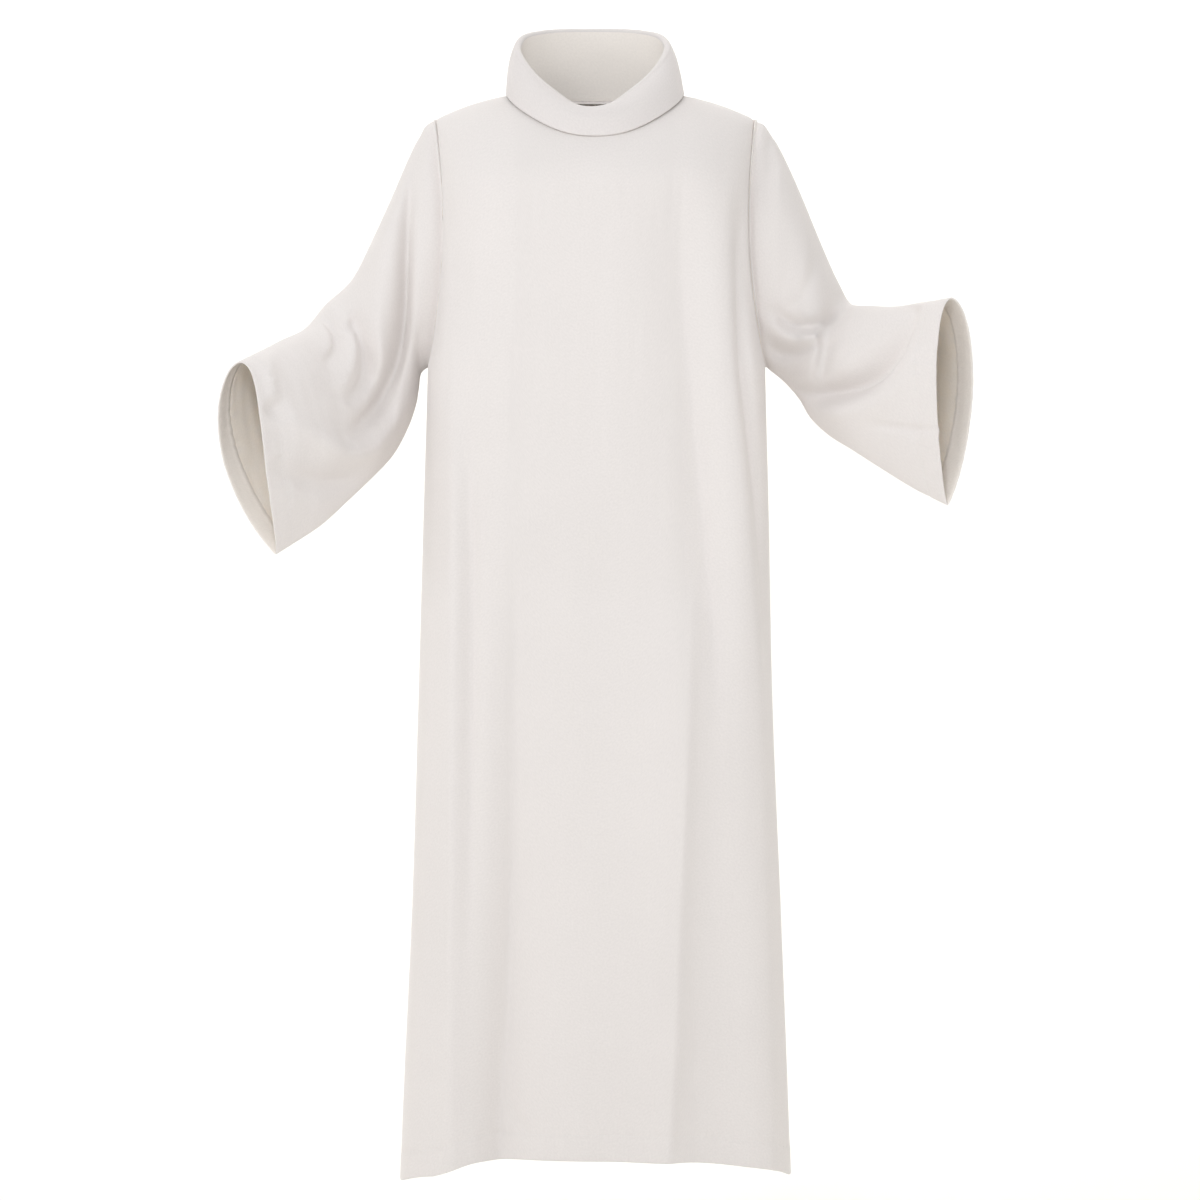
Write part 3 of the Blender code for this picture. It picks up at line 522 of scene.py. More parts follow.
sleeveShared = {
    "rows": 140, "columns": 200, "edgeStrip": 0.15, "headShare": 0.18, "cuffDepth": 0.030, "cuffRoll": 0.0012,
    "sectionLength": 0.25, "sectionWidth": 0.13,     # of a middle section, to space the columns
    "unevenness": ((1.0, 0.10, 0.22), (0.45, 0.045, 0.12), (0.12, 0.018, 0.05)),
    "headFullness": 0.0022, "headPlace": 0.016, "headReach": 0.009,
    "underSeam": 0.0012, "underReach": 2.0, "underFade": 0.05,       # depth, degrees each way, run from the armhole
}
leftSleeve = {
    "side": 1, "seed": 37, "pinch": 0.0028,
    "sections": (                                    # top x, y, z, underarm x, y, z, turn, width, taper, bow
        (0.2212, 0.000, -0.028, 0.2335, 0.000, -0.375, 0, 0.144, 0.50, 0.000),
        (0.2350, 0.000, -0.038, 0.2420, 0.000, -0.378, 0, 0.146, 0.55, 0.000),
        (0.2530, 0.000, -0.064, 0.2500, 0.000, -0.385, 0, 0.146, 0.60, 0.000),
        (0.2730, 0.000, -0.105, 0.2600, 0.000, -0.394, 0, 0.144, 0.65, 0.000),
        (0.2930, 0.000, -0.151, 0.2720, -0.002, -0.407, 2, 0.140, 0.70, 0.000),
        (0.3140, 0.000, -0.202, 0.2840, -0.010, -0.423, 8, 0.136, 0.75, 0.000),
        (0.3350, 0.000, -0.252, 0.2980, -0.025, -0.448, 16, 0.130, 0.80, 0.000),
        (0.3520, 0.000, -0.284, 0.3220, -0.050, -0.473, 28, 0.122, 0.83, 0.000),
        (0.3810, -0.048, -0.292, 0.3510, -0.085, -0.494, 42, 0.112, 0.84, 0.004),
        (0.4120, -0.100, -0.297, 0.3900, -0.120, -0.522, 51, 0.098, 0.82, 0.006),
        (0.4430, -0.155, -0.296, 0.4320, -0.155, -0.551, 55, 0.082, 0.80, 0.009),
        (0.4760, -0.205, -0.294, 0.4720, -0.186, -0.573, 55, 0.066, 0.80, 0.010),
    ),
    "frontFolds": (
        (1.3, ((0.430, -0.288, 0, 10, 9), (0.424, -0.302, -13, 11, 10), (0.408, -0.336, -24, 14, 11),
              (0.390, -0.368, -33, 17, 12), (0.370, -0.392, -37, 18, 12), (0.344, -0.408, -37, 18, 12),
              (0.312, -0.414, -29, 16, 12), (0.284, -0.412, -16, 13, 11), (0.266, -0.402, 0, 11, 10))),
        (1.5, ((0.356, -0.284, 0, 5, 7), (0.346, -0.294, -9, 6, 7), (0.324, -0.310, -13, 6, 8),
              (0.292, -0.322, -14, 7, 8), (0.262, -0.314, -11, 7, 8), (0.244, -0.292, 0, 7, 8))),
        (1.5, ((0.228, -0.290, 0, 8, 8), (0.244, -0.322, 8, 9, 9), (0.270, -0.338, 9, 10, 10),
              (0.300, -0.336, 6, 10, 10), (0.320, -0.330, 0, 10, 10))),
        (1.5, ((0.236, -0.336, 0, 8, 7), (0.252, -0.354, -10, 8, 7), (0.278, -0.358, -11, 8, 7),
              (0.300, -0.348, -5, 8, 7), (0.312, -0.340, 0, 8, 7))),
        (1.5, ((0.320, -0.334, 0, 5, 7), (0.314, -0.354, -6, 5, 7), (0.302, -0.390, -7, 5, 7),
              (0.296, -0.410, 0, 5, 7))),
        (1.5, ((0.266, -0.408, 0, 6, 6), (0.278, -0.424, -6, 6, 6), (0.294, -0.443, -6, 6, 6),
              (0.306, -0.456, 0, 6, 6))),
        (1.4, ((0.372, -0.458, 0, 2, 4), (0.388, -0.464, -2.6, 2, 4), (0.413, -0.468, -3.2, 2, 4),
              (0.450, -0.472, -2.6, 2, 4), (0.470, -0.474, 0, 2, 4))),
        (1.5, ((0.418, -0.478, 0, 6, 6), (0.428, -0.477, -3, 6, 6), (0.438, -0.478, 0, 6, 6))),
        (1.5, ((0.243, -0.046, 0, 4, 5), (0.241, -0.072, -6, 4, 5), (0.238, -0.120, -6, 4, 6),
              (0.236, -0.180, 0, 5, 6))),
        (1.5, ((0.250, -0.080, 0, 3, 4), (0.247, -0.100, -3, 3, 4), (0.243, -0.140, 0, 3, 4))),
        (1.5, ((0.232, -0.110, 0, 9, 12), (0.231, -0.180, 5, 10, 14), (0.236, -0.260, 6, 10, 14),
              (0.246, -0.330, 0, 10, 12))),
        (1.5, ((0.440, -0.345, 0, 18, 18), (0.418, -0.392, 6, 18, 18), (0.382, -0.430, 9, 17, 17),
              (0.330, -0.444, 8, 16, 16), (0.290, -0.440, 0, 14, 14))),
        (1.5, ((0.300, -0.120, 0, 16, 14), (0.312, -0.190, 4, 16, 14), (0.330, -0.260, 4, 14, 12),
              (0.346, -0.300, 0, 12, 12))),
        (1.5, ((0.312, -0.180, 0, 6, 10), (0.302, -0.232, -5, 7, 11), (0.284, -0.280, -5, 7, 11),
              (0.262, -0.300, 0, 7, 10))),
    ),
    "backFolds": (
        (1.5, ((0.262, -0.100, 0, 16, 20), (0.266, -0.160, -10, 14, 18), (0.272, -0.260, -15, 12, 16),
              (0.284, -0.370, -15, 12, 16), (0.310, -0.430, -8, 12, 16), (0.330, -0.450, 0, 12, 16))),
        (1.5, ((0.356, -0.286, 0, 10, 12), (0.345, -0.300, -9, 10, 12), (0.325, -0.350, -12, 10, 12),
              (0.330, -0.410, -8, 10, 12), (0.345, -0.440, 0, 10, 12))),
        (1.5, ((0.402, -0.300, 0, 12, 14), (0.400, -0.340, -7, 12, 14), (0.388, -0.400, -10, 12, 14),
              (0.352, -0.462, -8, 12, 14), (0.335, -0.476, 0, 12, 14))),
        (1.5, ((0.300, -0.180, 0, 12, 12), (0.302, -0.260, 5, 12, 12), (0.306, -0.330, 6, 12, 12),
              (0.310, -0.390, 0, 12, 12))),
    ),
}
rightSleeve = {
    "side": -1, "seed": 41, "pinch": 0.0008,
    "sections": (
        (-0.2268, 0.000, -0.028, -0.2348, 0.000, -0.375, 0, 0.144, 0.50, 0.000),
        (-0.2440, 0.000, -0.043, -0.2435, 0.000, -0.378, 0, 0.146, 0.55, 0.000),
        (-0.2630, 0.000, -0.081, -0.2475, 0.000, -0.388, 0, 0.146, 0.60, 0.000),
        (-0.2880, 0.000, -0.139, -0.2495, 0.000, -0.406, 0, 0.144, 0.65, 0.000),
        (-0.3140, 0.000, -0.195, -0.2530, -0.002, -0.429, 2, 0.140, 0.70, 0.000),
        (-0.3430, 0.000, -0.251, -0.2630, -0.008, -0.459, 8, 0.136, 0.75, 0.000),
        (-0.3780, 0.000, -0.285, -0.2830, -0.022, -0.498, 20, 0.128, 0.80, 0.000),
        (-0.4000, -0.034, -0.320, -0.3090, -0.048, -0.529, 36, 0.118, 0.84, 0.004),
        (-0.4270, -0.084, -0.340, -0.3430, -0.086, -0.565, 47, 0.108, 0.84, 0.010),
        (-0.4520, -0.137, -0.359, -0.3800, -0.128, -0.602, 54, 0.096, 0.82, 0.016),
        (-0.4800, -0.190, -0.379, -0.4330, -0.170, -0.639, 55, 0.077, 0.80, 0.030),
    ),
    "frontFolds": (
        (1.4, ((-0.250, -0.060, 0, 9, 6), (-0.256, -0.110, -10, 9, 6), (-0.261, -0.180, -22, 10, 7),
              (-0.264, -0.250, -28, 10, 7), (-0.268, -0.316, -30, 10, 7), (-0.277, -0.372, -30, 10, 8),
              (-0.294, -0.424, -27, 10, 9), (-0.318, -0.458, -16, 10, 10), (-0.340, -0.478, 0, 10, 10))),
        (1.5, ((-0.342, -0.300, 0, 6, 8), (-0.334, -0.314, -9, 6, 8), (-0.321, -0.352, -15, 6, 9),
              (-0.318, -0.392, -14, 7, 9), (-0.333, -0.420, -6, 7, 9), (-0.344, -0.432, 0, 7, 8))),
        (1.5, ((-0.394, -0.302, 0, 5, 6), (-0.380, -0.310, -8, 5, 6), (-0.360, -0.328, -14, 6, 7),
              (-0.355, -0.350, -14, 6, 7), (-0.366, -0.372, -6, 6, 7), (-0.374, -0.382, 0, 6, 7))),
        (1.5, ((-0.340, -0.326, 0, 9, 8), (-0.339, -0.360, 9, 10, 9), (-0.346, -0.396, 5, 10, 8),
              (-0.356, -0.418, 0, 10, 8))),
        (1.5, ((-0.430, -0.440, 0, 15, 15), (-0.396, -0.468, 11, 16, 16), (-0.352, -0.498, 16, 16, 15),
              (-0.308, -0.490, 14, 15, 14), (-0.270, -0.446, 9, 13, 12), (-0.254, -0.402, 0, 12, 11))),
        (1.5, ((-0.436, -0.512, 0, 12, 12), (-0.400, -0.532, -10, 13, 13), (-0.360, -0.540, -13, 13, 13),
              (-0.312, -0.530, 0, 11, 11))),
        (1.4, ((-0.474, -0.352, 0, 5, 9), (-0.458, -0.366, 7, 5, 9), (-0.446, -0.390, 9, 5, 9),
              (-0.440, -0.416, 7, 5, 9), (-0.432, -0.436, 0, 5, 9))),
        (1.5, ((-0.446, -0.436, 0, 6, 7), (-0.432, -0.446, -8, 7, 7), (-0.414, -0.456, 0, 6, 6))),
        (1.5, ((-0.392, -0.284, 0, 6, 6), (-0.380, -0.286, 6, 6, 7), (-0.366, -0.298, 5, 6, 7),
              (-0.354, -0.320, 0, 6, 6))),
        (1.5, ((-0.284, -0.110, 0, 14, 14), (-0.298, -0.210, 5, 16, 15), (-0.304, -0.290, 7, 15, 14),
              (-0.300, -0.360, 6, 12, 11), (-0.306, -0.410, 0, 11, 10))),
        (1.5, ((-0.240, -0.120, 0, 12, 8), (-0.240, -0.200, 5, 13, 9), (-0.243, -0.290, 6, 13, 9),
              (-0.250, -0.360, 0, 12, 9))),
        (1.5, ((-0.232, -0.050, 0, 5, 4), (-0.242, -0.062, -2.5, 5, 4), (-0.248, -0.082, 0, 5, 4))),
        (1.5, ((-0.416, -0.352, 0, 14, 14), (-0.398, -0.390, 4, 15, 15), (-0.376, -0.424, 0, 15, 15))),
        (1.5, ((-0.352, -0.334, 0, 5, 5), (-0.338, -0.320, -4, 5, 5), (-0.322, -0.300, 0, 5, 5))),
    ),
    "backFolds": (
        (1.5, ((-0.262, -0.100, 0, 20, 16), (-0.268, -0.160, -10, 18, 14), (-0.274, -0.260, -15, 16, 12),
              (-0.284, -0.380, -15, 16, 12), (-0.306, -0.440, -8, 16, 12), (-0.326, -0.466, 0, 16, 12))),
        (1.5, ((-0.382, -0.288, 0, 12, 10), (-0.370, -0.300, -9, 12, 10), (-0.346, -0.350, -12, 12, 10),
              (-0.342, -0.416, -8, 12, 10), (-0.352, -0.440, 0, 12, 10))),
        (1.5, ((-0.428, -0.342, 0, 14, 12), (-0.422, -0.370, -7, 14, 12), (-0.402, -0.430, -10, 14, 12),
              (-0.356, -0.496, -8, 14, 12), (-0.338, -0.512, 0, 14, 12))),
        (1.5, ((-0.310, -0.180, 0, 12, 12), (-0.314, -0.270, 5, 12, 12), (-0.318, -0.350, 6, 12, 12),
              (-0.322, -0.400, 0, 12, 12))),
    ),
}


def sleeveGrid(settings):
    side = settings["side"]
    numbered = [(index,) + row for index, row in enumerate(settings["sections"])]
    half = sleeveShared["columns"] // 2
    fine = np.linspace(0, 180, 2001)                 # columns evenly spaced round a middle section
    fineShare = (1 - np.cos(np.radians(fine))) / 2
    bend = np.sqrt(fineShare) * (1 - fineShare) ** 0.8
    run = np.concatenate([[0], np.cumsum(np.hypot(np.diff(fineShare) * sleeveShared["sectionLength"],
                                                  np.diff(bend) * sleeveShared["sectionWidth"]))])
    turns = np.interp(np.linspace(0, run[-1], half + 1), run, fine)
    turns = np.concatenate([turns, 360 - turns[-2:0:-1]])
    face = np.where(turns <= 180, -1.0, 1.0)
    share = (1 - np.cos(np.radians(turns))) / 2
    seamX, seamY, seamZ = armholeEdge(side, np.minimum(turns, 360 - turns))
    seam = np.stack([seamX + side * bodyForm["seamGap"] / 2, face * seamY, seamZ], axis=-1)
    rings, flats, bulges = [], [], []
    steps = np.concatenate([[0, sleeveShared["edgeStrip"]], np.arange(1, sleeveShared["rows"] + 1)])
    for step in steps:
        place = (len(numbered) - 1) * step / sleeveShared["rows"]
        value = [float(readCurve(numbered, column, place)) for column in range(1, 11)]
        top, low, turn = np.array(value[0:3]), np.array(value[3:6]), math.radians(value[6])
        width, taper, bow = value[7:10]
        flat = np.array([-side * math.sin(turn), -math.cos(turn), 0.0])
        ahead = np.array([side * math.cos(turn), -math.sin(turn), 0.0])
        widest = 0.5 / (0.5 + taper)
        bulge = np.sqrt(share) * (1 - share) ** taper / (math.sqrt(widest) * (1 - widest) ** taper)
        ring = top + (low - top) * share[:, None] + flat * (-face * bulge * width / 2)[:, None]
        rings.append(ring + ahead * (bow * 4 * share * (1 - share))[:, None])
        flats.append(flat * -face[:, None])
        bulges.append(bulge)
    rings, flats, bulges = np.array(rings), np.array(flats), np.array(bulges)
    front = foldRise(settings["frontFolds"], rings[..., 0], rings[..., 2])
    back = foldRise(settings["backFolds"], rings[..., 0], rings[..., 2])
    uneven = ripple(rings[..., 0] + rings[..., 1], rings[..., 2], settings["seed"], sleeveShared["unevenness"])
    push = (np.where(face < 0, front, back) + uneven) * ease(bulges / 0.6)
    rings = rings + flats * push[..., None]
    blend = ease(steps / sleeveShared["rows"] / sleeveShared["headShare"])[:, None, None]
    return seam * (1 - blend) + rings * blend, turns, face


def makeSleeve(name, settings, materials):
    side = settings["side"]
    points, turns, face = sleeveGrid(settings)
    out = surfaceOut(points, True) * side
    run = np.cumsum(np.linalg.norm(np.diff(points, axis=0, prepend=points[:1]), axis=-1), axis=0)
    # the seam dips, and the sleeve's head stands a little full beside it
    pinch = settings["pinch"] * np.exp(-(run / bodyForm["dipReach"]) ** 2) * ease(run / bodyForm["dipStart"])
    beside = np.exp(-((run - sleeveShared["headPlace"]) / sleeveShared["headReach"]) ** 2)
    full = sleeveShared["headFullness"] * beside * ease(np.cos(np.radians(turns)) * 1.2 + 0.3)
    points = points - out * (pinch - full)[..., None]
    nearUnder = np.exp(-(np.abs(turns - 180) / sleeveShared["underReach"]) ** 2)
    points = points - out * (sleeveShared["underSeam"] * nearUnder * ease(run / sleeveShared["underFade"]))[..., None]
    points = hemLine(points, out, sleeveShared["cuffDepth"], settings["seed"] + 1)
    out = surfaceOut(points, True) * side
    stitchLine = stitchPlace(points, out, sleeveShared["cuffDepth"], slice(None))
    grid = turnHem(points, out, sleeveShared["cuffDepth"], sleeveShared["cuffRoll"])
    fold = armholeInward(side, 1, np.minimum(turns, 360 - turns))
    fold[:, 1] = np.where(face < 0, -fold[:, 1], fold[:, 1])
    bands = [points[0] + fold * bodyForm["allowance"] * share for share in bodyForm["allowanceSteps"][::-1]]
    grid = np.concatenate([np.stack(bands), grid])
    inside = grid - surfaceOut(grid, True) * side * bodyForm["clothThick"]
    turned = range(len(bands) + len(points) + 2, len(grid))
    return makeCloth(name, grid, inside, True, materials, turned), stitchLine


collarBand = {
    "columns": 260, "standRows": 18, "rollSteps": 12, "flapRows": 26,
    "rim": (                                         # angle from the front, height of the roll
        (-13, -0.0185), (0, -0.0240), (13, -0.0185), (28, 0.0000), (45, 0.0220), (68, 0.0520), (90, 0.0740),
        (110, 0.0915), (140, 0.1050), (180, 0.1100), (220, 0.1050),
    ),
    "flapHalfWidth": 0.1235, "flapFront": -0.1235, "flapBack": 0.0890, "squareness": 2.3, "standOff": 0.0030,
    "rimX": -0.0066, "rimY": -0.0110, "rimHalfWidth": 0.1040, "rimHalfDepth": 0.0790,
    "roll": 0.0042, "bulge": 0.0032, "frontBulge": 0.0110, "bulgeHeight": 0.7, "thick": 0.0019, "seed": 53,
    "waves": ((1.0, 0.155, 0.3), (0.5, 0.062, 0.3)), "waveShare": 0.8, "waveJoin": 12, "length": 0.62,
    "footIn": 0.001, "footLift": 0.0004, "freeLift": 0.001,
}


def neckSurfaceZ(x, y):                              # height of the shoulders under the collar
    face = np.where(y < 0, -1, 1)
    u = (x - middleX) / halfShoulder
    depth = np.where(face < 0, bodyDepth(-1, 0.0) * sectionShare(-1, u), bodyDepth(1, 0.0) * sectionShare(1, u))
    reach = np.clip(np.abs(y) / depth, 0, 1)
    rise = np.where(face < 0, 0.0, napeRise(1, x))
    arch = 1 - (1 - reach ** bodyForm["archPower"]) ** (1 / bodyForm["archPower"])
    return shoulderZ(x) + rise - bodyForm["archHeight"] * arch


def necklinePoints(count):                           # the neck seam, once round, evenly spaced
    halves = []
    for face in (-1, 1):
        u = np.linspace(-bodyForm["neckShare"], bodyForm["neckShare"], 401)
        tipX = bodyForm["rightTip"] + (bodyForm["leftTip"] - bodyForm["rightTip"]) * (u + 1) / 2
        z = topEdgeZ(face, u, tipX)
        line = bodyRow(face, u, tipX, z, 0 * u, (), 1)
        line[[0, -1], 1] = face * bodyForm["seamGap"] / 2
        halves.append(line)
    loop = np.concatenate([halves[0], halves[1][::-1], halves[0][:1]])
    run = runAlong(loop)
    places = np.linspace(0, run[-1], count, endpoint=False)
    return np.stack([np.interp(places, run, loop[:, axis]) for axis in range(3)], axis=-1)


def makeCollar(name, settings, materials):
    seam = necklinePoints(settings["columns"])
    inwardDir = neckInward(seam)
    angle = np.degrees(np.arctan2(seam[:, 0] - middleX, bodyForm["neckCentreY"] - seam[:, 1]))
    around = np.radians(angle)
    sine, cosine = np.sin(around), np.cos(around)
    radial = np.stack([sine, -cosine, 0 * sine], axis=-1)
    rim = np.stack([settings["rimX"] + settings["rimHalfWidth"] * sine,
                    settings["rimY"] - settings["rimHalfDepth"] * cosine,
                    readCurve(settings["rim"], 1, np.abs(angle))], axis=-1)
    square = settings["squareness"]
    size = (np.abs(sine) ** square + np.abs(cosine) ** square) ** (-1 / square)
    middleY = (settings["flapFront"] + settings["flapBack"]) / 2
    halfY = (settings["flapBack"] - settings["flapFront"]) / 2
    free = np.stack([middleX + settings["flapHalfWidth"] * size * sine, middleY - halfY * size * cosine, 0 * sine],
                    axis=-1)
    free[:, 2] = neckSurfaceZ(free[:, 0], free[:, 1]) + settings["standOff"] + settings["freeLift"]
    foot = seam + inwardDir * settings["footIn"]
    foot[:, 2] = seam[:, 2] + bodyForm["seamGap"] + settings["footLift"]
    rise = unit(rim - (foot + free) / 2)
    out = unit(radial - rise * np.sum(radial * rise, axis=-1, keepdims=True))
    wave = ripple(angle / 360 * settings["length"], 0 * angle, settings["seed"], settings["waves"])
    wave = wave * ease(np.minimum(angle + 180, 180 - angle) / settings["waveJoin"])
    waveShare = settings["waveShare"]
    roll = rim - rise * settings["roll"]
    bulge = settings["bulge"] + settings["frontBulge"] * np.clip(cosine, 0, 1) ** 2
    rows = []
    for step in range(settings["standRows"]):
        share = step / settings["standRows"]
        rows.append(foot + (roll - out * settings["roll"] - foot) * share
                    + out * (wave * waveShare * math.sin(share * math.pi / 2))[:, None])
    for step in range(settings["rollSteps"] + 1):
        spin = math.pi * step / settings["rollSteps"]
        rows.append(roll - out * settings["roll"] * math.cos(spin) + rise * settings["roll"] * math.sin(spin)
                    + out * wave[:, None] * waveShare)
    for step in range(1, settings["flapRows"] + 1):
        share = step / settings["flapRows"]
        line = roll + out * settings["roll"] + (free - roll - out * settings["roll"]) * share
        swell = bulge * math.sin(math.pi * share ** settings["bulgeHeight"])
        swell = swell + wave * waveShare * math.cos(share * math.pi / 2)
        rows.append(line + out * swell[:, None])
    middle = np.array(rows)
    normal = -surfaceOut(middle, True)
    half = settings["thick"] / 2
    outer, inner = middle + normal * half, middle - normal * half
    outer[0] = seam + inwardDir * settings["thick"]
    inner[0] = seam
    for edge in (outer, inner):
        edge[0, :, 2] = seam[:, 2] + bodyForm["seamGap"]
    return makeCloth(name, outer, inner, True, materials, range(settings["standRows"]), lip=0.5)


sewing = {
    "pitch": 0.0040, "length": 0.0026, "radius": 0.00022, "lift": 0.0001, "first": 0.002, "lookAhead": 0.0008,
    "sides": 6, "rings": 5,
}


def makeStitches(name, line, material):              # short runs of thread that dip into the cloth at both ends
    points, out = line
    run = runAlong(points)

    def pointAt(values, place):
        return np.array([np.interp(place, run, values[:, axis]) for axis in range(3)])

    verts, faces = [], []
    sides, rings = sewing["sides"], sewing["rings"]
    spin = np.linspace(0, 2 * math.pi, sides, endpoint=False)
    for start in np.arange(sewing["first"], run[-1] - sewing["pitch"], sewing["pitch"]):
        base = len(verts)
        for ring in range(rings):
            t = ring / (rings - 1)
            place = start + sewing["length"] * t
            here, up = pointAt(points, place), unit(pointAt(out, place))
            beside = unit(np.cross(up, pointAt(points, place + sewing["lookAhead"]) - here))
            rise = sewing["lift"] + sewing["radius"] * (2.2 * math.sin(math.pi * t) - 1.2)
            thick = sewing["radius"] * (0.55 + 0.45 * math.sin(math.pi * t))
            for angle in spin:
                verts.append(here + up * (rise + thick * math.sin(angle)) + beside * thick * math.cos(angle))
        for ring in range(rings - 1):
            for s in range(sides):
                n = (s + 1) % sides
                a = base + ring * sides
                faces.append((a + s, a + n, a + sides + n, a + sides + s))
        faces.append(tuple(base + s for s in range(sides))[::-1])
        faces.append(tuple(base + (rings - 1) * sides + s for s in range(sides)))
    mesh = bpy.data.meshes.new(name)
    mesh.from_pydata([tuple(v) for v in verts], [], faces)
    mesh.materials.append(material)
    mesh.shade_smooth()
    return addPiece(name, mesh)


clothFinish = {
    # doubled: the same cloth painted lighter and warmer than outside, painted light on the turned hems and the inside
    # of the collar
    # inside: the same cloth painted lighter and warmer than outside, painted light for the light that comes through
    # the cloth and bounces inside
    "outside": (0.815, 0.776, 0.755), "inside": (0.930, 0.860, 0.790), "doubled": (0.930, 0.880, 0.825),
    # collar: the same cloth painted darker than the outside, painted shade on the collar's flap
    "collar": (0.785, 0.745, 0.728), "thread": (0.830, 0.820, 0.800),
    "roughness": 0.88, "threadRoughness": 0.7, "sheen": 0.25, "sheenRoughness": 0.45, "specular": 0.25,
    "glow": 0.5, "glowRadius": (1.0, 0.88, 0.76), "glowDepth": 0.004,    # light that passes through the thin cloth
    "yarn": 0.00062, "crepe": 0.0021, "weaveDepth": 0.00022, "weaveStrength": 0.5,
}


def newSocket(group, name, kind, way, value=None):
    socket = group.interface.new_socket(name=name, in_out=way, socket_type=kind)
    if value is not None:
        socket.default_value = value


def setInputs(node, values):
    for name, value in values.items():
        node.inputs[name].default_value = value


def crepeWeaveGroup():                               # plain weave of twisted yarns, with a fine pebbled grain
    group = bpy.data.node_groups.new("crepeWeave", "ShaderNodeTree")
    newSocket(group, "Weave Vector", "NodeSocketVector", "INPUT")
    newSocket(group, "Yarn Pitch", "NodeSocketFloat", "INPUT", 0.0006)
    newSocket(group, "Crepe Size", "NodeSocketFloat", "INPUT", 0.002)
    newSocket(group, "Height", "NodeSocketFloat", "OUTPUT")
    newSocket(group, "Grain", "NodeSocketFloat", "OUTPUT")
    nodes, links = group.nodes, group.links
    source, sink = nodes.new("NodeGroupInput"), nodes.new("NodeGroupOutput")

    def mathNode(operation, a, b=None):                  # one Math node; a and b are sockets or plain numbers
        node = nodes.new("ShaderNodeMath")
        node.operation = operation
        for index, value in enumerate((a, b)):
            if value is None:
                continue
            if isinstance(value, (int, float)):
                node.inputs[index].default_value = value
            else:
                links.new(value, node.inputs[index])
        return node.outputs[0]

    wobble = nodes.new("ShaderNodeTexNoise")
    setInputs(wobble, {"Scale": 220, "Detail": 2})
    links.new(source.outputs["Weave Vector"], wobble.inputs["Vector"])
    split = nodes.new("ShaderNodeSeparateXYZ")
    links.new(source.outputs["Weave Vector"], split.inputs[0])
    bend = mathNode("MULTIPLY", mathNode("SUBTRACT", wobble.outputs["Fac"], 0.5), 0.0008)
    waves = []
    for axis in ("X", "Y"):                          # warp, then weft
        yarns = mathNode("DIVIDE", mathNode("ADD", split.outputs[axis], bend), source.outputs["Yarn Pitch"])
        waves.append(mathNode("SINE", mathNode("MULTIPLY", yarns, math.pi)))
    yarn = mathNode("ADD", mathNode("MULTIPLY", mathNode("MULTIPLY", *waves), 0.5), 0.5)
    pebble = nodes.new("ShaderNodeTexVoronoi")
    pebble.feature = "SMOOTH_F1"
    links.new(source.outputs["Weave Vector"], pebble.inputs["Vector"])
    links.new(mathNode("DIVIDE", 1.0, source.outputs["Crepe Size"]), pebble.inputs["Scale"])
    grain = nodes.new("ShaderNodeTexNoise")
    links.new(source.outputs["Weave Vector"], grain.inputs["Vector"])
    links.new(mathNode("DIVIDE", 0.7, source.outputs["Crepe Size"]), grain.inputs["Scale"])
    grain.inputs["Detail"].default_value = 4
    height = mathNode("ADD", mathNode("MULTIPLY", yarn, 0.45), mathNode("MULTIPLY", grain.outputs["Fac"], 0.6))
    height = mathNode("SUBTRACT", height, mathNode("MULTIPLY", pebble.outputs["Distance"], 0.35))
    links.new(height, sink.inputs["Height"])
    links.new(grain.outputs["Fac"], sink.inputs["Grain"])
    return group


def clothToneGroup():                                # slight unevenness of the dye and of handling
    group = bpy.data.node_groups.new("clothTone", "ShaderNodeTree")
    newSocket(group, "Place", "NodeSocketVector", "INPUT")
    newSocket(group, "Cloth", "NodeSocketColor", "INPUT", (0.8, 0.8, 0.8, 1))
    newSocket(group, "Grain", "NodeSocketFloat", "INPUT", 0.5)
    newSocket(group, "Colour", "NodeSocketColor", "OUTPUT")
    nodes, links = group.nodes, group.links
    source, sink = nodes.new("NodeGroupInput"), nodes.new("NodeGroupOutput")
    cloud = nodes.new("ShaderNodeTexNoise")
    setInputs(cloud, {"Scale": 6, "Detail": 3})
    links.new(source.outputs["Place"], cloud.inputs["Vector"])
    spread = nodes.new("ShaderNodeMapRange")
    setInputs(spread, {"To Min": 0.975, "To Max": 1.015})
    links.new(cloud.outputs["Fac"], spread.inputs["Value"])
    fleck = nodes.new("ShaderNodeMapRange")
    setInputs(fleck, {"From Min": 0.3, "From Max": 0.7, "To Min": 0.965, "To Max": 1.02})
    links.new(source.outputs["Grain"], fleck.inputs["Value"])
    both = nodes.new("ShaderNodeMath")
    both.operation = "MULTIPLY"
    links.new(spread.outputs[0], both.inputs[0])
    links.new(fleck.outputs[0], both.inputs[1])
    tint = nodes.new("ShaderNodeMix")
    tint.data_type, tint.blend_type = "RGBA", "MULTIPLY"
    tint.inputs["Factor"].default_value = 1.0
    links.new(source.outputs["Cloth"], tint.inputs["A"])
    grey = nodes.new("ShaderNodeCombineColor")
    for channel in range(3):
        links.new(both.outputs[0], grey.inputs[channel])
    links.new(grey.outputs[0], tint.inputs["B"])
    links.new(tint.outputs["Result"], sink.inputs["Colour"])
    return group


weaveGroup, toneGroup = crepeWeaveGroup(), clothToneGroup()


def newMaterial(name, roughness):
    material = bpy.data.materials.new(name)
    material.use_nodes = True
    nodes = material.node_tree.nodes
    shader = nodes["Principled BSDF"]
    shader.inputs["Roughness"].default_value = roughness
    return material, nodes, material.node_tree.links, shader


def addTone(nodes, links, shader, colour):           # gives the colour of the cloth or thread its unevenness
    places, tone = nodes.new("ShaderNodeTexCoord"), nodes.new("ShaderNodeGroup")
    tone.node_tree = toneGroup
    tone.inputs["Cloth"].default_value = (*colour, 1)
    links.new(places.outputs["Object"], tone.inputs["Place"])
    links.new(tone.outputs["Colour"], shader.inputs["Base Color"])
    return places, tone


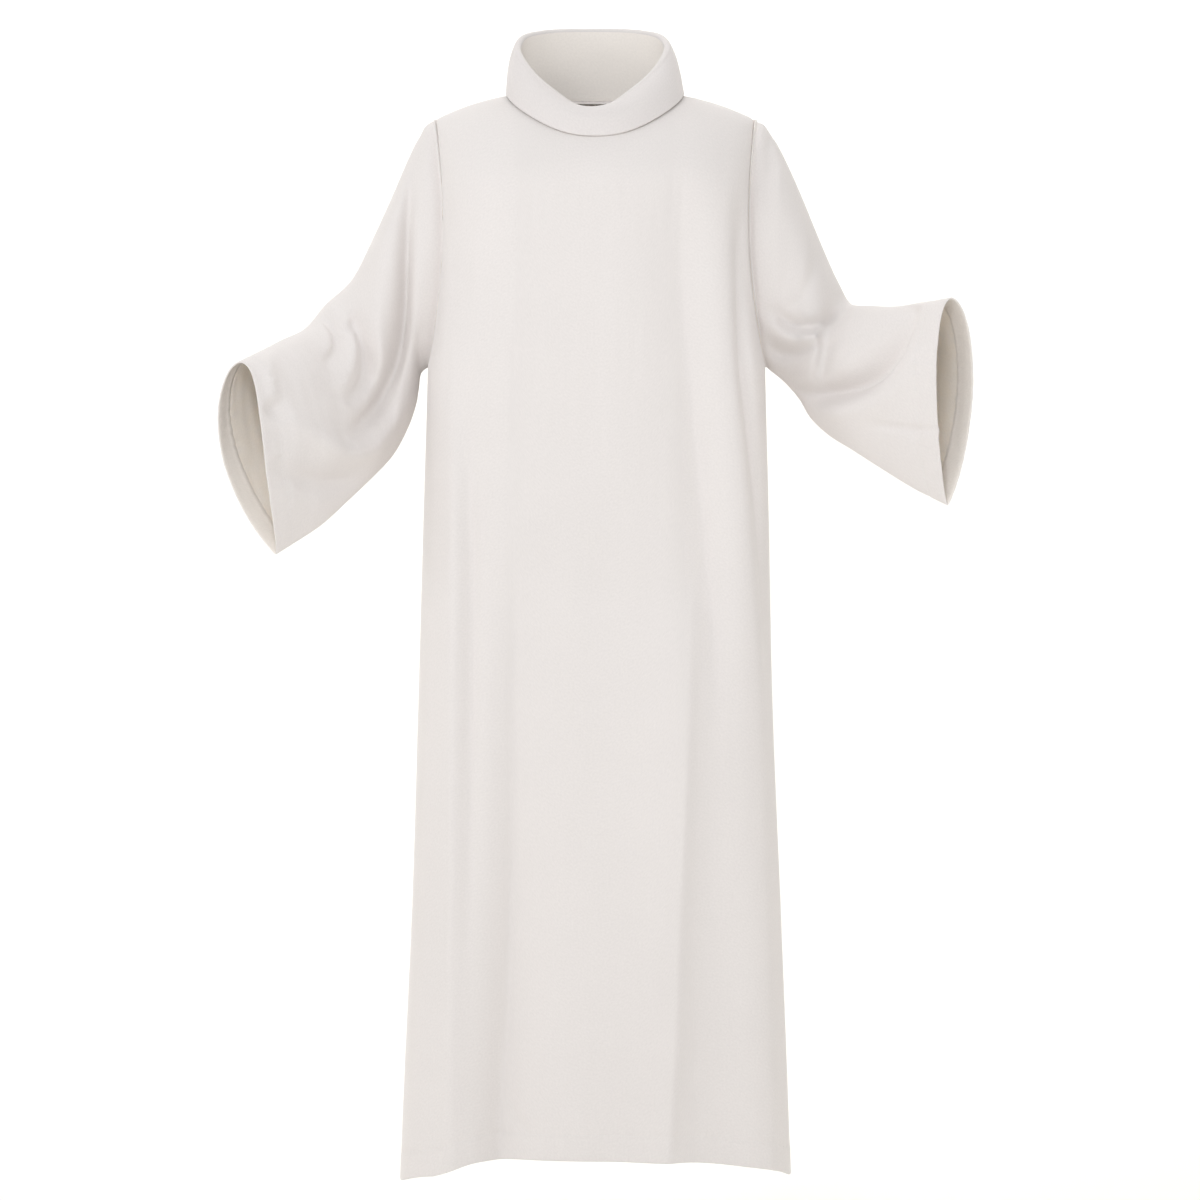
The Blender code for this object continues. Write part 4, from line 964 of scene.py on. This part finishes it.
def clothMaterial(name, colour, glow):
    material, nodes, links, shader = newMaterial(name, clothFinish["roughness"])
    setInputs(shader, {
        "Sheen Weight": clothFinish["sheen"], "Sheen Roughness": clothFinish["sheenRoughness"],
        "Specular IOR Level": clothFinish["specular"], "Subsurface Weight": glow,
        "Subsurface Radius": clothFinish["glowRadius"], "Subsurface Scale": clothFinish["glowDepth"],
    })
    places, tone = addTone(nodes, links, shader, colour)
    weave = nodes.new("ShaderNodeGroup")
    weave.node_tree = weaveGroup
    setInputs(weave, {"Yarn Pitch": clothFinish["yarn"], "Crepe Size": clothFinish["crepe"]})
    links.new(places.outputs["UV"], weave.inputs["Weave Vector"])
    links.new(weave.outputs["Grain"], tone.inputs["Grain"])
    bump = nodes.new("ShaderNodeBump")
    setInputs(bump, {"Strength": clothFinish["weaveStrength"], "Distance": clothFinish["weaveDepth"]})
    links.new(weave.outputs["Height"], bump.inputs["Height"])
    links.new(bump.outputs["Normal"], shader.inputs["Normal"])
    return material


def threadMaterial():                                # twisted cotton thread
    material, nodes, links, shader = newMaterial("sewingThread", clothFinish["threadRoughness"])
    addTone(nodes, links, shader, clothFinish["thread"])
    return material


outsideCloth = clothMaterial("crepeOutside", clothFinish["outside"], 0.0)
# painted light: the inner skins get a lighter, warmer colour in place of light through and inside the cloth
insideLitCloth = clothMaterial("crepeInsidePaintedLight", clothFinish["inside"], clothFinish["glow"])
# painted light: turned hems and the collar's inside are painted lighter and warmer than the outside
doubledLitCloth = clothMaterial("crepeDoubledPaintedLight", clothFinish["doubled"], 0.0)    # turned hems, inside of the collar
# painted shade: the collar is painted darker than the rest of the same cloth
collarShadedCloth = clothMaterial("crepeCollarPaintedShade", clothFinish["collar"], 0.0)
thread = threadMaterial()
clothSides = [outsideCloth, insideLitCloth, doubledLitCloth]
stage("cloth ready")

frontPiece, frontHem = makePanel("front_cloth_panel", -1, frontPanel, clothSides)
stage("front panel sewn")
backPiece, backHem = makePanel("back_cloth_panel", 1, backPanel, clothSides)
stage("back panel sewn")
leftPiece, leftCuff = makeSleeve("left_sleeve_cloth", leftSleeve, clothSides)
rightPiece, rightCuff = makeSleeve("right_sleeve_cloth", rightSleeve, clothSides)
stage("sleeves set in")
collarPiece = makeCollar("collar_cloth_band", collarBand, [collarShadedCloth, insideLitCloth, doubledLitCloth])
stage("collar folded")

frontStitches = makeStitches("front_hem_stitches", frontHem, thread)
backStitches = makeStitches("back_hem_stitches", backHem, thread)
leftStitches = makeStitches("left_cuff_stitches", leftCuff, thread)
rightStitches = makeStitches("right_cuff_stitches", rightCuff, thread)
stage("hems stitched")

for piece, node, stitches in ((frontPiece, "front", frontStitches), (backPiece, "back", backStitches),
                              (leftPiece, "sleeve_left", leftStitches), (rightPiece, "sleeve_right", rightStitches),
                              (collarPiece, "collar", None)):
    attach(piece, "root")
    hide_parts(node)
    if stitches is not None:
        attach(stitches, "root")

stage("sheets declared")


studio = {
    "floor": -1.66, "frontY": -7.0, "backY": 2.6, "top": 4.5, "halfWidth": 6.0, "curve": 1.1, "curveSteps": 17,
    "floorColour": (0.95, 0.935, 0.905), "floorRoughness": 0.95,
    "world": (1.0, 0.985, 0.965), "worldStrength": 0.56,
    "lights": (                                      # name, place, aim, size, watts, colour
        ("key", (-2.9, -3.4, 1.5), (0.0, 0.0, -0.4), (1.4, 1.4), 29, (0.960, 0.975, 1.0)),
        ("side", (-4.2, -1.4, 0.6), (0.0, 0.0, -0.6), (1.6, 1.6), 18, (1.0, 1.0, 1.0)),
        ("front", (-0.3, -2.8, 0.4), (0.0, 0.0, -0.1), (0.8, 0.8), 21, (0.900, 0.940, 1.0)),
        ("fill", (3.7, -2.5, 0.0), (0.0, 0.0, -0.5), (1.5, 1.5), 17, (0.990, 0.995, 1.0)),
        ("backdrop", (0.0, 0.8, 2.4), (0.0, 3.2, 0.9), (4.0, 1.0), 92, (1.0, 1.0, 1.0)),
    ),
    "camera": (0.0042, -5.0, -0.700), "lens": 107.14, "sensor": 36,
}


def makeBackdrop():                                  # floor that curves up behind
    profile = [(studio["frontY"], studio["floor"])]
    centreY, centreZ = studio["backY"] - studio["curve"], studio["floor"] + studio["curve"]
    for angle in np.linspace(-90, 0, studio["curveSteps"]):
        profile.append((centreY + studio["curve"] * math.cos(math.radians(angle)),
                        centreZ + studio["curve"] * math.sin(math.radians(angle))))
    profile.append((studio["backY"], studio["top"]))
    verts = [(x, y, z) for y, z in profile for x in (-studio["halfWidth"], studio["halfWidth"])]
    faces = [(2 * i, 2 * i + 1, 2 * i + 3, 2 * i + 2) for i in range(len(profile) - 1)]
    mesh = bpy.data.meshes.new("studioFloor")
    mesh.from_pydata(verts, [], faces)
    mesh.shade_smooth()
    material, nodes, links, shader = newMaterial("paperSweep", studio["floorRoughness"])
    shader.inputs["Base Color"].default_value = (*studio["floorColour"], 1)
    side = nodes.new("ShaderNodeNewGeometry")        # the sweep is clear from behind, so that the back can be seen
    clear = nodes.new("ShaderNodeBsdfTransparent")
    blend = nodes.new("ShaderNodeMixShader")
    links.new(side.outputs["Backfacing"], blend.inputs["Fac"])
    links.new(shader.outputs["BSDF"], blend.inputs[1])
    links.new(clear.outputs["BSDF"], blend.inputs[2])
    links.new(blend.outputs["Shader"], nodes["Material Output"].inputs["Surface"])
    mesh.materials.append(material)
    addPiece("studioFloor", mesh)


def makeLights():
    for name, place, aim, size, watts, colour in studio["lights"]:
        lamp = bpy.data.lights.new(name + "Light", "AREA")
        lamp.shape, lamp.size, lamp.size_y = "RECTANGLE", size[0], size[1]
        lamp.energy, lamp.color = watts, colour
        item = addPiece(name + "Light", lamp)
        item.location = place
        item.rotation_euler = (Vector(aim) - Vector(place)).to_track_quat("-Z", "Y").to_euler()
    world = bpy.data.worlds.new("studioAir")
    world.use_nodes = True
    sky = world.node_tree.nodes["Background"]
    setInputs(sky, {"Color": (*studio["world"], 1), "Strength": studio["worldStrength"]})
    bpy.context.scene.world = world


def makeCamera():
    lens = bpy.data.cameras.new("studioCamera")
    lens.sensor_width, lens.lens = studio["sensor"], studio["lens"]
    item = addPiece("studioCamera", lens)
    item.location = studio["camera"]
    item.rotation_euler = (math.radians(90), 0, 0)
    bpy.context.scene.camera = item


makeBackdrop()
makeLights()
makeCamera()
bpy.context.scene.view_settings.view_transform = "Standard"
stage("studio ready")
